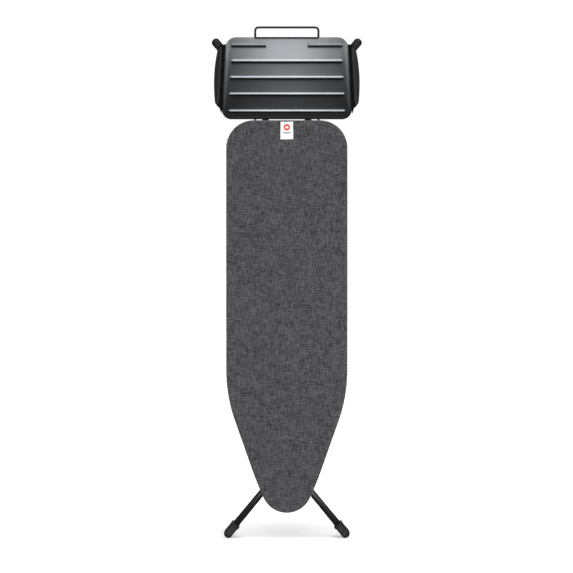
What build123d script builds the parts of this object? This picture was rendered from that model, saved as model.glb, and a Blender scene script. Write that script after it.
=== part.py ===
"""Free-standing ironing board, folded flat and standing on its two nose-end feet.

X is right, Y runs from the ironing face (front, -Y) to the legs (back, +Y) and Z is up, from the
nose to the heel. Depths are counted back from the front of the cover. All lengths are in mm.
"""

from build123d import *
from math import atan2, cos, radians, sin, sqrt, tan
import os

os.makedirs("parts", exist_ok=True)

# ---- driving dimensions: the board ----
FRONT = -31.5  # Y of the cover's front, so that the whole object is centred on Y = 0
NOSE_Z = 80.0  # nose tip above the floor when folded
BOARD_LENGTH = 1243.0
HALF_WIDTH = 192.0
NOSE_RADIUS = 81.0
NOSE_TURN = 65.0  # degrees of the nose arc on each side
BELLY_RADIUS = 1030.0
BELLY_TURN = 5.7
SHOULDER_RADIUS = 487.0
SHOULDER_TURN = 90.0 - NOSE_TURN - BELLY_TURN
HEEL_RADIUS = 88.0
HEEL_Z = NOSE_Z + BOARD_LENGTH

COVER_SKIN = 1.0
FOAM_BACK = 5.0
FELT_BACK = 7.0
MESH_BACK = 8.0
RIM_BACK = 22.0
MEMBER_BACK = 16.0  # rear face of the cross members
HEM = 22.0  # width of the cover's turned-in hem

# ---- driving dimensions: the folding frame ----
TUBE = 22.0  # leg tube diameter
WALL = 1.2
TUBE_DEPTH = 48.0
AXLE = 10.0  # axle diameter
AXLE_DEPTH = 31.0
INNER_X = 45.0  # centre of each inner leg tube
OUTER_X = 68.0
PIVOT_Z = 1125.0  # inner leg pivot on the board
CROSS_Z = 805.0  # where the two legs cross
ARM = sqrt((PIVOT_Z - CROSS_Z) ** 2 + (TUBE_DEPTH - AXLE_DEPTH) ** 2)
ARM_LEAN = atan2(TUBE_DEPTH - AXLE_DEPTH, PIVOT_Z - CROSS_Z)
SLIDE_Z = PIVOT_Z - 2 * ARM * cos(ARM_LEAN)
FOLD_ANGLES = (39.4, 43.8, 48.5, 53.6)  # leg angles of the four working heights
SPLAY = 40.5  # degrees that the feet turn outwards
FOOT_X = 186.0
FOOT_Z = 12.8
FOOT_DEPTH = 27.0
TOP_FOOT_X = 226.5
TOP_FOOT_Z = 1575.6
RUNNING = 0.05  # radial clearance of a running fit

# ---- driving dimensions: the iron tray ----
TRAY_LOW = 1327.5
TRAY_HIGH = 1587.0
TRAY_HALF_LOW = 208.0
TRAY_HALF_HIGH = 193.0
TRAY_CORNER = 32.0
TRAY_FRONT = 8.0
TRAY_SHEET = 1.2
TRAY_BACK = 24.0
ROD = 7.0
ROD_X = 100.5
ROD_DEPTH = 28.5
LOOP_TOP = 1620.5
WAIST_Z = 1598.0


def back(depth):
    """Y of a plane that lies depth behind the front of the cover."""
    return FRONT + depth


def layer(depth):
    """Plane parallel to the ironing face; its normal points forward and its Y runs up the board."""
    return Plane.XZ.offset(-back(depth))


def plate(outline, front, rear, rounding=0.0):
    """Solid cut to an outline between two depths, with its front edge rounded."""
    with BuildPart() as slab:
        with BuildSketch(layer(front)):
            add(outline)
        extrude(amount=front - rear)
        if rounding:
            fillet(slab.faces().sort_by(Axis.Y)[0].edges(), rounding)
    return slab.part


def block(x, depth, z, rounding=0.0):
    """Box between pairs of X, depth and Z limits, with its edges along Z rounded."""
    with BuildPart() as brick:
        with Locations(((x[0] + x[1]) / 2, back((depth[0] + depth[1]) / 2), (z[0] + z[1]) / 2)):
            Box(x[1] - x[0], depth[1] - depth[0], z[1] - z[0])
        if rounding:
            fillet(brick.edges().filter_by(Axis.Z), rounding)
    return brick.part


def rod_x(radius, x, depth, z):
    """Cylinder along X between two X limits."""
    with BuildPart() as bar:
        with Locations(Location(((x[0] + x[1]) / 2, back(depth), z), (0, 90, 0))):
            Cylinder(radius, x[1] - x[0])
    return bar.part


def rod_y(radius, x, depth, z):
    """Cylinder along Y between two depths."""
    with BuildPart() as bar:
        with Locations(Location((x, back((depth[0] + depth[1]) / 2), z), (90, 0, 0))):
            Cylinder(radius, depth[1] - depth[0])
    return bar.part


def hex_x(across, x, depth, z):
    """Hexagonal prism along X between two X limits."""
    with BuildPart() as prism:
        with BuildSketch(Plane(origin=(x[0], back(depth), z), z_dir=(1, 0, 0))):
            RegularPolygon(across / 2, 6, major_radius=False)
        extrude(amount=x[1] - x[0])
    return prism.part


def tube(route, bend, outer, wall=None):
    """Bent tube along straight runs joined by arcs, solid if it has no wall."""
    with BuildPart() as pipe:
        with BuildLine() as centre:
            if len(route) > 2:
                FilletPolyline(*route, radius=bend)
            else:
                Line(*route)
        with BuildSketch(Plane(origin=centre.line @ 0, z_dir=centre.line % 0)):
            Circle(outer / 2)
            if wall:
                Circle(outer / 2 - wall, mode=Mode.SUBTRACT)
        sweep()
    return pipe.part


def board_outline(inset=0.0):
    """Outline of the ironing surface: tangent arcs from the nose to a broad square heel."""
    slant = radians(BELLY_TURN + NOSE_TURN)
    start = radians(NOSE_TURN)
    reach = (
        NOSE_RADIUS * sin(start)
        + BELLY_RADIUS * (sin(slant) - sin(start))
        + SHOULDER_RADIUS * (1 - sin(slant))
    )
    straight = (HALF_WIDTH - reach) / cos(slant)
    with BuildSketch() as shape:
        with BuildLine():
            nose = JernArc((0, NOSE_Z), (1, 0), NOSE_RADIUS, NOSE_TURN)
            belly = JernArc(nose @ 1, nose % 1, BELLY_RADIUS, BELLY_TURN)
            side = Line(belly @ 1, (belly @ 1) + (belly % 1) * straight)
            shoulder = JernArc(side @ 1, side % 1, SHOULDER_RADIUS, SHOULDER_TURN)
            flank = Line(shoulder @ 1, ((shoulder @ 1).X, HEEL_Z - HEEL_RADIUS))
            heel = JernArc(flank @ 1, (0, 1), HEEL_RADIUS, 90)
            Line(heel @ 1, (0, HEEL_Z))
            mirror(about=Plane.YZ)
        make_face()
        if inset:
            offset(amount=-inset, mode=Mode.REPLACE)
    return shape.sketch


def tray_half_width(z):
    """Half-width of the tray at a height; its sides lean in towards the far end."""
    return TRAY_HALF_LOW + (TRAY_HALF_HIGH - TRAY_HALF_LOW) * (z - TRAY_LOW) / (TRAY_HIGH - TRAY_LOW)


def tray_outline(inset=0.0):
    """Outline of the iron tray: a shallow trapezium with round corners."""
    with BuildSketch() as shape:
        with BuildLine():
            Polyline(
                (-TRAY_HALF_LOW, TRAY_LOW),
                (TRAY_HALF_LOW, TRAY_LOW),
                (TRAY_HALF_HIGH, TRAY_HIGH),
                (-TRAY_HALF_HIGH, TRAY_HIGH),
                close=True,
            )
        make_face()
        fillet(shape.vertices(), TRAY_CORNER)
        if inset:
            offset(amount=-inset, mode=Mode.REPLACE)
    return shape.sketch


SIDES = ((-1, "left"), (1, "right"))


# =====================================================================================
# The ironing surface: a mesh top in a steel rim, felt, foam and a fitted cover
# =====================================================================================

LABEL_HALF = 20.0
LABEL_LOW = HEEL_Z - 61.0
LABEL_HIGH = HEEL_Z - 5.0
LABEL_THICK = 0.6

with BuildPart() as cover:
    add(plate(board_outline(), 0, RIM_BACK + 2.5, rounding=5))
    add(plate(board_outline(COVER_SKIN), COVER_SKIN, RIM_BACK + 1.5, rounding=4), mode=Mode.SUBTRACT)
    add(plate(board_outline(HEM), RIM_BACK + 1, RIM_BACK + 3), mode=Mode.SUBTRACT)
    add(block((-LABEL_HALF, LABEL_HALF), (0, LABEL_THICK), (LABEL_LOW, LABEL_HIGH)), mode=Mode.SUBTRACT)
cover.part.label = "cover"
export_step(cover.part, "parts/cover.step")

with BuildPart() as care_label:
    add(block((-LABEL_HALF, LABEL_HALF), (0, LABEL_THICK), (LABEL_LOW, LABEL_HIGH)))
care_label.part.label = "care_label"
export_step(care_label.part, "parts/care_label.step")

PAD_INSET = COVER_SKIN + 0.3

with BuildPart() as foam_pad:
    add(plate(board_outline(PAD_INSET + 0.2), COVER_SKIN, FOAM_BACK, rounding=3.7))
foam_pad.part.label = "foam_pad"
export_step(foam_pad.part, "parts/foam_pad.step")

with BuildPart() as felt_underlay:
    add(plate(board_outline(PAD_INSET), FOAM_BACK, FELT_BACK))
felt_underlay.part.label = "felt_underlay"
export_step(felt_underlay.part, "parts/felt_underlay.step")

RIM_THICK = 1.5
RIM_FLANGE = 9.0

# the rim is a band on edge, with a flange turned in along its back
with BuildPart() as board_rim:
    add(plate(board_outline(PAD_INSET), FELT_BACK, RIM_BACK))
    add(plate(board_outline(PAD_INSET + RIM_THICK), FELT_BACK, RIM_BACK - RIM_THICK), mode=Mode.SUBTRACT)
    add(plate(board_outline(PAD_INSET + RIM_FLANGE), FELT_BACK, RIM_BACK), mode=Mode.SUBTRACT)
board_rim.part.label = "board_rim"
export_step(board_rim.part, "parts/board_rim.step")

MESH_INSET = PAD_INSET + RIM_THICK + 0.1
MESH_PITCH_X = 50.0
MESH_PITCH_Z = 36.0
MESH_BORDER = 12.0

# expanded sheet: staggered diamond openings that let the steam through
with BuildPart() as mesh_top:
    with BuildSketch(layer(FELT_BACK)):
        add(board_outline(MESH_INSET))
        with BuildSketch(mode=Mode.SUBTRACT):
            middle = NOSE_Z + BOARD_LENGTH / 2
            for shift in (0, 1):
                place = (shift * MESH_PITCH_X / 2, middle + shift * MESH_PITCH_Z / 2)
                with Locations(place):
                    with GridLocations(MESH_PITCH_X, MESH_PITCH_Z, 9, 35):
                        Polygon((-19, 0), (0, -13), (19, 0), (0, 13), align=None)
            add(board_outline(MESH_INSET + MESH_BORDER), mode=Mode.INTERSECT)
    extrude(amount=FELT_BACK - MESH_BACK)
mesh_top.part.label = "mesh_top"
export_step(mesh_top.part, "parts/mesh_top.step")

MEMBER_WIDTH = 24.0
MEMBER_SHEET = 2.0
LOWER_MEMBER_Z = 478.0
UPPER_MEMBER_Z = 788.0

MEMBERS = (
    ("cross_member_lower", LOWER_MEMBER_Z, 181.0),
    ("cross_member_upper", UPPER_MEMBER_Z, 188.0),
    ("cross_member_pivot", PIVOT_Z, 188.0),
)

# three channels welded across the rim, open towards the mesh
for name, middle, half in MEMBERS:
    with BuildPart() as cross_member:
        low, high = middle - MEMBER_WIDTH / 2, middle + MEMBER_WIDTH / 2
        add(block((-half, half), (MESH_BACK, MEMBER_BACK), (low, high)))
        inner = (low + MEMBER_SHEET, high - MEMBER_SHEET)
        web = MEMBER_BACK - MEMBER_SHEET
        add(block((-half, half), (MESH_BACK, web), inner), mode=Mode.SUBTRACT)
        if name == "cross_member_pivot":
            for x in (-36, 36):
                add(rod_y(3.05, x, (MESH_BACK, MEMBER_BACK), middle), mode=Mode.SUBTRACT)
    cross_member.part.label = name
    export_step(cross_member.part, f"parts/{name}.step")

# =====================================================================================
# Slide rails, height rack and pivot bracket on the underside
# =====================================================================================

RAIL_IN, RAIL_OUT = 85.0, 103.0
RAIL_BACK = 46.0
RAIL_SHEET = 1.5
RAIL_LIP = 5.0
RAIL_LOW, RAIL_HIGH = 436.0, 800.0
STOP = 4.0


def mirrored(side, low, high):
    """X limits of a piece at low..high on the right, or its mirror image on the left."""
    return (low, high) if side > 0 else (-high, -low)


for side, word in SIDES:
    with BuildPart() as slide_rail:
        add(block(mirrored(side, RAIL_IN, RAIL_OUT), (MEMBER_BACK, RAIL_BACK), (RAIL_LOW, RAIL_HIGH)))
        cavity = (MEMBER_BACK + RAIL_SHEET, RAIL_BACK - RAIL_SHEET)
        inside = mirrored(side, RAIL_IN + RAIL_SHEET, RAIL_OUT - RAIL_SHEET)
        add(block(inside, cavity, (RAIL_LOW, RAIL_HIGH)), mode=Mode.SUBTRACT)
        mouth = (cavity[0] + RAIL_LIP, cavity[1] - RAIL_LIP)
        add(block(mirrored(side, RAIL_IN - 1, RAIL_OUT - 4), mouth, (RAIL_LOW, RAIL_HIGH)), mode=Mode.SUBTRACT)
    slide_rail.part.label = f"slide_rail_{word}"
    export_step(slide_rail.part, f"parts/slide_rail_{word}.step")

# a nylon plug closes each end of each rail
with BuildPart() as rail_end_stops:
    for side, word in SIDES:
        for low in (RAIL_LOW, RAIL_HIGH - STOP):
            x = mirrored(side, RAIL_IN + RAIL_SHEET + 0.1, RAIL_OUT - RAIL_SHEET - 0.1)
            depth = (MEMBER_BACK + RAIL_SHEET + 0.1, RAIL_BACK - RAIL_SHEET - 0.1)
            add(block(x, depth, (low, low + STOP)))
rail_end_stops.part.label = "rail_end_stops"
export_step(rail_end_stops.part, "parts/rail_end_stops.step")

RACK_HALF = 16.0
RACK_BACK = 18.5
BOLT = 8.0  # lock bolt diameter
BOLT_DROP = 28.0  # the bolt runs this far below the slide axle
RACK_HOLE = 9.6

# strip with one hole for the folded position and one for each working height
with BuildPart() as height_rack:
    add(block((-RACK_HALF, RACK_HALF), (MEMBER_BACK, RACK_BACK), (RAIL_LOW + 4, RAIL_HIGH)))
    for angle in (0,) + FOLD_ANGLES:
        stop_z = PIVOT_Z - 2 * ARM * cos(ARM_LEAN + radians(angle)) - BOLT_DROP
        add(rod_y(RACK_HOLE / 2, 0, (MEMBER_BACK, RACK_BACK), stop_z), mode=Mode.SUBTRACT)
height_rack.part.label = "height_rack"
export_step(height_rack.part, "parts/height_rack.step")

EAR_X = 28.0
EAR_SHEET = 2.5
BUSH_OUTER = 14.0

# hat-shaped bracket: a base on the cross member and two upright ears with round tips
with BuildPart() as pivot_bracket:
    add(block((-46, 46), (MEMBER_BACK, RACK_BACK), (PIVOT_Z - 22, PIVOT_Z + 22)))
    for side, word in SIDES:
        x = mirrored(side, EAR_X - EAR_SHEET / 2, EAR_X + EAR_SHEET / 2)
        add(block(x, (RACK_BACK, AXLE_DEPTH), (PIVOT_Z - 14, PIVOT_Z + 14)))
        add(rod_x(14, x, AXLE_DEPTH, PIVOT_Z))
    for side, word in SIDES:
        x = mirrored(side, EAR_X - EAR_SHEET, EAR_X + EAR_SHEET)
        add(rod_x(BUSH_OUTER / 2 + 0.02, x, AXLE_DEPTH, PIVOT_Z), mode=Mode.SUBTRACT)
        add(rod_y(3.05, side * 36, (MEMBER_BACK, RACK_BACK), PIVOT_Z), mode=Mode.SUBTRACT)
pivot_bracket.part.label = "pivot_bracket"
export_step(pivot_bracket.part, "parts/pivot_bracket.step")

# flanged nylon bushes in the bracket's ears
with BuildPart() as pivot_bushes:
    for side, word in SIDES:
        inner = EAR_X - EAR_SHEET / 2
        add(rod_x(BUSH_OUTER / 2, mirrored(side, inner, inner + EAR_SHEET), AXLE_DEPTH, PIVOT_Z))
        add(rod_x(BUSH_OUTER / 2 + 2.5, mirrored(side, inner - 1.5, inner), AXLE_DEPTH, PIVOT_Z))
        hole = mirrored(side, inner - 2, inner + EAR_SHEET + 1)
        add(rod_x(AXLE / 2 + RUNNING, hole, AXLE_DEPTH, PIVOT_Z), mode=Mode.SUBTRACT)
pivot_bushes.part.label = "pivot_bushes"
export_step(pivot_bushes.part, "parts/pivot_bushes.step")

# rivets that hold the bracket to its cross member
with BuildPart() as bracket_rivets:
    for side, word in SIDES:
        add(rod_y(3.0, side * 36, (MEMBER_BACK - MEMBER_SHEET - 1.5, RACK_BACK), PIVOT_Z))
        add(rod_y(5.0, side * 36, (RACK_BACK, RACK_BACK + 2), PIVOT_Z))
        add(rod_y(5.0, side * 36, (MEMBER_BACK - MEMBER_SHEET - 1.8, MEMBER_BACK - MEMBER_SHEET), PIVOT_Z))
bracket_rivets.part.label = "bracket_rivets"
export_step(bracket_rivets.part, "parts/bracket_rivets.step")

# =====================================================================================
# The iron tray at the heel, on two rods that end in a wire loop
# =====================================================================================

RIB_RADIUS = 5.0
RIB_ROWS = ((1511.0, 175.0), (1458.5, 179.0), (1406.0, 182.0), (1352.0, 184.0))
SHORT_RIB_Z = 1562.0
SHORT_RIB = (66.0, 175.0)


def rib(x, z, radius, middle):
    """Raised rib: a bar along X with ball ends."""
    with BuildPart() as bead:
        add(rod_x(radius, (x[0] + radius, x[1] - radius), middle, z))
        with Locations((x[0] + radius, back(middle), z), (x[1] - radius, back(middle), z)):
            Sphere(radius)
    return bead.part


# pressed sheet: flat top, rolled edge, deep rim and a row of hollow ribs
with BuildPart() as tray_plate:
    add(plate(tray_outline(), TRAY_FRONT, TRAY_BACK, rounding=5))
    rib_spans = [((-half, half), z) for z, half in RIB_ROWS]
    rib_spans += [(mirrored(side, *SHORT_RIB), SHORT_RIB_Z) for side, word in SIDES]
    for span, z in rib_spans:
        add(rib(span, z, RIB_RADIUS, TRAY_FRONT + 0.6))
    add(
        plate(tray_outline(TRAY_SHEET), TRAY_FRONT + TRAY_SHEET, TRAY_BACK + 1, rounding=3.8),
        mode=Mode.SUBTRACT,
    )
    add(block((-215, 215), (TRAY_BACK, TRAY_BACK + 8), (TRAY_LOW - 5, TRAY_HIGH + 5)), mode=Mode.SUBTRACT)
    for (x_low, x_high), z in rib_spans:
        span = (x_low + TRAY_SHEET, x_high - TRAY_SHEET)
        add(rib(span, z, RIB_RADIUS - TRAY_SHEET, TRAY_FRONT + 0.6), mode=Mode.SUBTRACT)
tray_plate.part.label = "tray_plate"
export_step(tray_plate.part, "parts/tray_plate.step")

BAR_HALF = 170.0
BAR_ROWS = (1379.0, 1535.0)
BAR_WIDTH = 20.0
BAR_SHEET = 1.5

# two box-section bars across the tray's back, welded to the rods
with BuildPart() as tray_bars:
    for z in BAR_ROWS:
        low, high = z - BAR_WIDTH / 2, z + BAR_WIDTH / 2
        front, rear = TRAY_FRONT + TRAY_SHEET, ROD_DEPTH - ROD / 2
        add(block((-BAR_HALF, BAR_HALF), (front, rear), (low, high)))
        hollow = (front + BAR_SHEET, rear - BAR_SHEET)
        span = (-BAR_HALF, BAR_HALF)
        add(block(span, hollow, (low + BAR_SHEET, high - BAR_SHEET)), mode=Mode.SUBTRACT)
tray_bars.part.label = "tray_bars"
export_step(tray_bars.part, "parts/tray_bars.step")

ROD_LOW = PIVOT_Z - 17

# one wire: up the left side, across the far end as a loop and down the right side
with BuildPart() as tray_rods:
    corners = (
        (-ROD_X, back(ROD_DEPTH), ROD_LOW),
        (-ROD_X, back(ROD_DEPTH), LOOP_TOP),
        (ROD_X, back(ROD_DEPTH), LOOP_TOP),
        (ROD_X, back(ROD_DEPTH), ROD_LOW),
    )
    add(tube(corners, 10, ROD))
tray_rods.part.label = "tray_rods"
export_step(tray_rods.part, "parts/tray_rods.step")

STOP_WIRE = 6.0
STOP_DEPTH = 4.5
STOP_Z = 1583.5
STOP_BEND = 4.5

# end stop in front of the tray's far edge: both ends turn back and are welded to the rods
with BuildPart() as end_stop_wire:
    reach = ROD_X - 0.5
    weld = ROD_DEPTH - ROD / 2 - 1.2
    corners = (
        (-reach, back(weld), WAIST_Z + 6),
        (-reach, back(STOP_DEPTH), WAIST_Z + 1),
        (-reach, back(STOP_DEPTH), STOP_Z),
        (reach, back(STOP_DEPTH), STOP_Z),
        (reach, back(STOP_DEPTH), WAIST_Z + 1),
        (reach, back(weld), WAIST_Z + 6),
    )
    add(tube(corners, STOP_BEND, STOP_WIRE))
end_stop_wire.part.label = "end_stop_wire"
export_step(end_stop_wire.part, "parts/end_stop_wire.step")

CLAMP_ROWS = ((PIVOT_Z, MEMBER_BACK), (1288.0, MESH_BACK))
CLAMP_BACK = 34.5
CLAMP_X = (91.0, 122.0)
SCREW_X = 113.0

# saddle clamps hold each rod under the board
with BuildPart() as rod_clamps:
    for side, word in SIDES:
        for z, base in CLAMP_ROWS:
            add(block(mirrored(side, *CLAMP_X), (base, CLAMP_BACK), (z - 10, z + 10), rounding=3))
            with Locations((side * ROD_X, back(ROD_DEPTH), z)):
                Cylinder(ROD / 2 + 0.02, 24, mode=Mode.SUBTRACT)
            add(rod_y(2.55, side * SCREW_X, (base, CLAMP_BACK), z), mode=Mode.SUBTRACT)
rod_clamps.part.label = "rod_clamps"
export_step(rod_clamps.part, "parts/rod_clamps.step")

with BuildPart() as clamp_screws:
    for side, word in SIDES:
        for z, base in CLAMP_ROWS:
            add(rod_y(2.5, side * SCREW_X, (base, CLAMP_BACK), z))
            add(rod_y(4.8, side * SCREW_X, (CLAMP_BACK, CLAMP_BACK + 2.2), z))
clamp_screws.part.label = "clamp_screws"
export_step(clamp_screws.part, "parts/clamp_screws.step")

# ---- side guards: hinged blades that keep the iron and its cord on the tray ----

TRAY_LEAN = atan2(TRAY_HALF_LOW - TRAY_HALF_HIGH, TRAY_HIGH - TRAY_LOW)
GUARD_MID_Z = 1464.0
GUARD_HALF = 91.0  # half-length of the blade along its hinge
BAND = 8.0  # bracket width between the tray and the blade
BARREL = 9.5
HINGE_OUT = BAND + 0.8 + BARREL / 2
HINGE_DEPTH = 14.0
EAR_THICK = 4.0
PIN = 3.0
GUARD_SLOPE = 45.0  # degrees that the blade slopes back at rest
BLADE = 3.2
BLADE_WIDTH = 24.6
GUARD_GAP = 0.4
BRACKET_DEPTH = 12.0
LIP = 3.2
LIP_THICK = 1.0


def side_frame(side, depth):
    """Plane on the tray's side: local Y climbs along the side and local X points away from the tray."""
    origin = (side * tray_half_width(GUARD_MID_Z), back(depth), GUARD_MID_Z)
    out = (side * cos(TRAY_LEAN), 0, sin(TRAY_LEAN))
    return Plane(origin=origin, x_dir=out, z_dir=(0, -side, 0))


def along_side(side, radius, low, high, out, depth):
    """Cylinder parallel to the tray's side between two distances along it."""
    frame = side_frame(side, depth)
    start = frame.from_local_coords(Vector(out, low, 0))
    end = frame.from_local_coords(Vector(out, high, 0))
    with BuildPart() as bar:
        with BuildSketch(Plane(origin=start, z_dir=(end - start).normalized())):
            Circle(radius)
        extrude(amount=high - low)
    return bar.part


for side, word in SIDES:
    # rail along the tray's side, with an ear at each end of the hinge and a tapered foot
    with BuildPart() as guard_bracket:
        with BuildSketch(side_frame(side, HINGE_DEPTH + BRACKET_DEPTH / 2)):
            ear_low = -GUARD_HALF - GUARD_GAP - EAR_THICK
            ear_high = GUARD_HALF + GUARD_GAP + EAR_THICK
            tip = HINGE_OUT + BARREL / 2
            with BuildLine():
                Polyline(
                    (0.1, ear_low - 26),
                    (BAND, ear_low - 6),
                    (tip - 2, ear_low),
                    (tip, ear_low + EAR_THICK),
                    (BAND, ear_low + EAR_THICK),
                    (BAND, ear_high - EAR_THICK),
                    (tip, ear_high - EAR_THICK),
                    (tip - 2, ear_high),
                    (BAND, ear_high + 2),
                    (0.1, ear_high + 6),
                    close=True,
                )
            make_face()
        extrude(amount=BRACKET_DEPTH * side)
        # lip behind the hinge barrel, which keeps the cord from catching in the gap
        with BuildSketch(side_frame(side, HINGE_DEPTH + BRACKET_DEPTH / 2)):
            with Locations((BAND + LIP / 2 - 0.5, 0)):
                Rectangle(LIP + 1, 2 * (GUARD_HALF + GUARD_GAP) + 1)
        extrude(amount=LIP_THICK * side)
        hole = along_side(side, PIN / 2 + 0.02, -GUARD_HALF - 6, GUARD_HALF + 6, HINGE_OUT, HINGE_DEPTH)
        add(hole, mode=Mode.SUBTRACT)
    guard_bracket.part.label = f"guard_bracket_{word}"
    export_step(guard_bracket.part, f"parts/guard_bracket_{word}.step")

    # blade with a hinge barrel: a long bow-shaped flap, full in the middle and slim at its ends
    with BuildPart() as side_guard:
        add(along_side(side, BARREL / 2, -GUARD_HALF, GUARD_HALF, HINGE_OUT, HINGE_DEPTH))
        frame = side_frame(side, HINGE_DEPTH)
        hinge = frame.from_local_coords(Vector(HINGE_OUT, 0, 0))
        slope = radians(GUARD_SLOPE)
        outward = (side * cos(TRAY_LEAN) * cos(slope), sin(slope), sin(TRAY_LEAN) * cos(slope))
        climb = Vector(frame.y_dir) * (1 if frame.y_dir.Z > 0 else -1)
        normal = Vector(outward).cross(climb)
        with BuildSketch(Plane(origin=hinge + normal * (-BLADE / 2), x_dir=outward, z_dir=normal)) as bow:
            with BuildLine():
                edge = ThreePointArc((12, -GUARD_HALF), (BLADE_WIDTH, 8), (13, GUARD_HALF))
                Polyline((13, GUARD_HALF), (0, GUARD_HALF), (0, -GUARD_HALF), (12, -GUARD_HALF))
            make_face()
            fillet(bow.vertices().group_by(Axis.X)[-1], 9)
        extrude(amount=BLADE)
        hole = along_side(side, PIN / 2 + 0.08, -GUARD_HALF - 1, GUARD_HALF + 1, HINGE_OUT, HINGE_DEPTH)
        add(hole, mode=Mode.SUBTRACT)
    side_guard.part.label = f"side_guard_{word}"
    export_step(side_guard.part, f"parts/side_guard_{word}.step")

with BuildPart() as guard_pins:
    for side, word in SIDES:
        add(along_side(side, PIN / 2, -GUARD_HALF - 4.4, GUARD_HALF + 4.4, HINGE_OUT, HINGE_DEPTH))
guard_pins.part.label = "guard_pins"
export_step(guard_pins.part, "parts/guard_pins.step")

# =====================================================================================
# Inner leg: two tubes that pivot on the board and end in the feet it stands on when folded
# =====================================================================================

BEND = 60.0
EAR_PLATE = 4.0
EAR_RADIUS = 11.0
CROSS_BOLT = 8.0
INNER_KNEE_Z = 181.0
OUTER_KNEE_Z = TOP_FOOT_Z - (TOP_FOOT_X - OUTER_X) / tan(radians(SPLAY))


def ear(side, middle, z, away):
    """Ear plate let into a slot in a tube's end; away is +1 if the tube rises from the axle."""
    x = mirrored(side, middle - EAR_PLATE / 2, middle + EAR_PLATE / 2)
    far, near = z + away * 24, z - away * 8
    with BuildPart() as lug:
        add(rod_x(EAR_RADIUS, x, AXLE_DEPTH, z))
        add(block(x, (AXLE_DEPTH, TUBE_DEPTH - 1), (min(far, near), max(far, near))))
        add(rod_x(AXLE / 2 + 0.02, (x[0] - 1, x[1] + 1), AXLE_DEPTH, z), mode=Mode.SUBTRACT)
    return lug.part


def ear_slot(side, middle, z, away):
    """Slot through the tube's front wall for its ear plate."""
    x = mirrored(side, middle - EAR_PLATE / 2, middle + EAR_PLATE / 2)
    far, near = z + away * 24, z - away * 12
    return block(x, (AXLE_DEPTH, TUBE_DEPTH), (min(far, near), max(far, near)))


def coped_tube(half, leg_x, z, diameter):
    """Cross tube whose ends are hollowed to sit against a pair of upright leg tubes."""
    with BuildPart() as brace:
        add(rod_x(diameter / 2, (-half, half), TUBE_DEPTH, z))
        add(rod_x(diameter / 2 - WALL, (-half, half), TUBE_DEPTH, z), mode=Mode.SUBTRACT)
        with Locations((-leg_x, back(TUBE_DEPTH), z), (leg_x, back(TUBE_DEPTH), z)):
            Cylinder(TUBE / 2 + 0.03, 2 * diameter, mode=Mode.SUBTRACT)
    return brace.part


for side, word in SIDES:
    knee = (side * INNER_X, back(TUBE_DEPTH), INNER_KNEE_Z)
    foot = (side * FOOT_X, back(FOOT_DEPTH), FOOT_Z)
    with BuildPart() as inner_leg_tube:
        top = (side * INNER_X, back(TUBE_DEPTH), PIVOT_Z + 10)
        add(tube((top, knee, foot), BEND, TUBE, WALL))
        add(ear_slot(side, INNER_X, PIVOT_Z, -1), mode=Mode.SUBTRACT)
        x = mirrored(side, INNER_X - TUBE, INNER_X + TUBE)
        add(rod_x(CROSS_BOLT / 2 + 0.02, x, TUBE_DEPTH, CROSS_Z), mode=Mode.SUBTRACT)
    inner_leg_tube.part.label = f"inner_leg_tube_{word}"
    export_step(inner_leg_tube.part, f"parts/inner_leg_tube_{word}.step")

with BuildPart() as inner_leg_ears:
    for side, word in SIDES:
        add(ear(side, INNER_X, PIVOT_Z, -1))
inner_leg_ears.part.label = "inner_leg_ears"
export_step(inner_leg_ears.part, "parts/inner_leg_ears.step")

with BuildPart() as inner_leg_axle:
    add(rod_x(AXLE / 2, (-49.5, 49.5), AXLE_DEPTH, PIVOT_Z))
inner_leg_axle.part.label = "inner_leg_axle"
export_step(inner_leg_axle.part, "parts/inner_leg_axle.step")

# nylon sleeves keep the legs central on the axle
with BuildPart() as axle_spacers:
    for side, word in SIDES:
        x = mirrored(side, EAR_X + EAR_SHEET / 2 + 0.4, INNER_X - EAR_PLATE / 2 - 0.1)
        add(rod_x(5.9, x, AXLE_DEPTH, PIVOT_Z))
        add(rod_x(AXLE / 2 + 0.02, (x[0] - 1, x[1] + 1), AXLE_DEPTH, PIVOT_Z), mode=Mode.SUBTRACT)
axle_spacers.part.label = "axle_spacers"
export_step(axle_spacers.part, "parts/axle_spacers.step")

BRACE = 16.0
for name, z in (("inner_leg_brace_upper", 1030.0), ("inner_leg_brace_lower", 290.0)):
    with BuildPart() as inner_leg_brace:
        add(coped_tube(INNER_X - 3, INNER_X, z, BRACE))
    inner_leg_brace.part.label = name
    export_step(inner_leg_brace.part, f"parts/{name}.step")

# M8 bolts hinge the outer leg on the inner leg
HEAD_IN = OUTER_X + TUBE / 2 + 1.4
with BuildPart() as cross_bolts:
    for side, word in SIDES:
        add(rod_x(CROSS_BOLT / 2, mirrored(side, 26.5, HEAD_IN), TUBE_DEPTH, CROSS_Z))
        add(hex_x(13, mirrored(side, HEAD_IN, HEAD_IN + 3.6), TUBE_DEPTH, CROSS_Z))
cross_bolts.part.label = "cross_bolts"
export_step(cross_bolts.part, "parts/cross_bolts.step")

with BuildPart() as cross_nuts:
    for side, word in SIDES:
        add(hex_x(13, mirrored(side, 27.6, INNER_X - TUBE / 2 - 0.1), TUBE_DEPTH, CROSS_Z))
        add(rod_x(CROSS_BOLT / 2 + 0.02, mirrored(side, 26, 35), TUBE_DEPTH, CROSS_Z), mode=Mode.SUBTRACT)
cross_nuts.part.label = "cross_nuts"
export_step(cross_nuts.part, "parts/cross_nuts.step")

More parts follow.
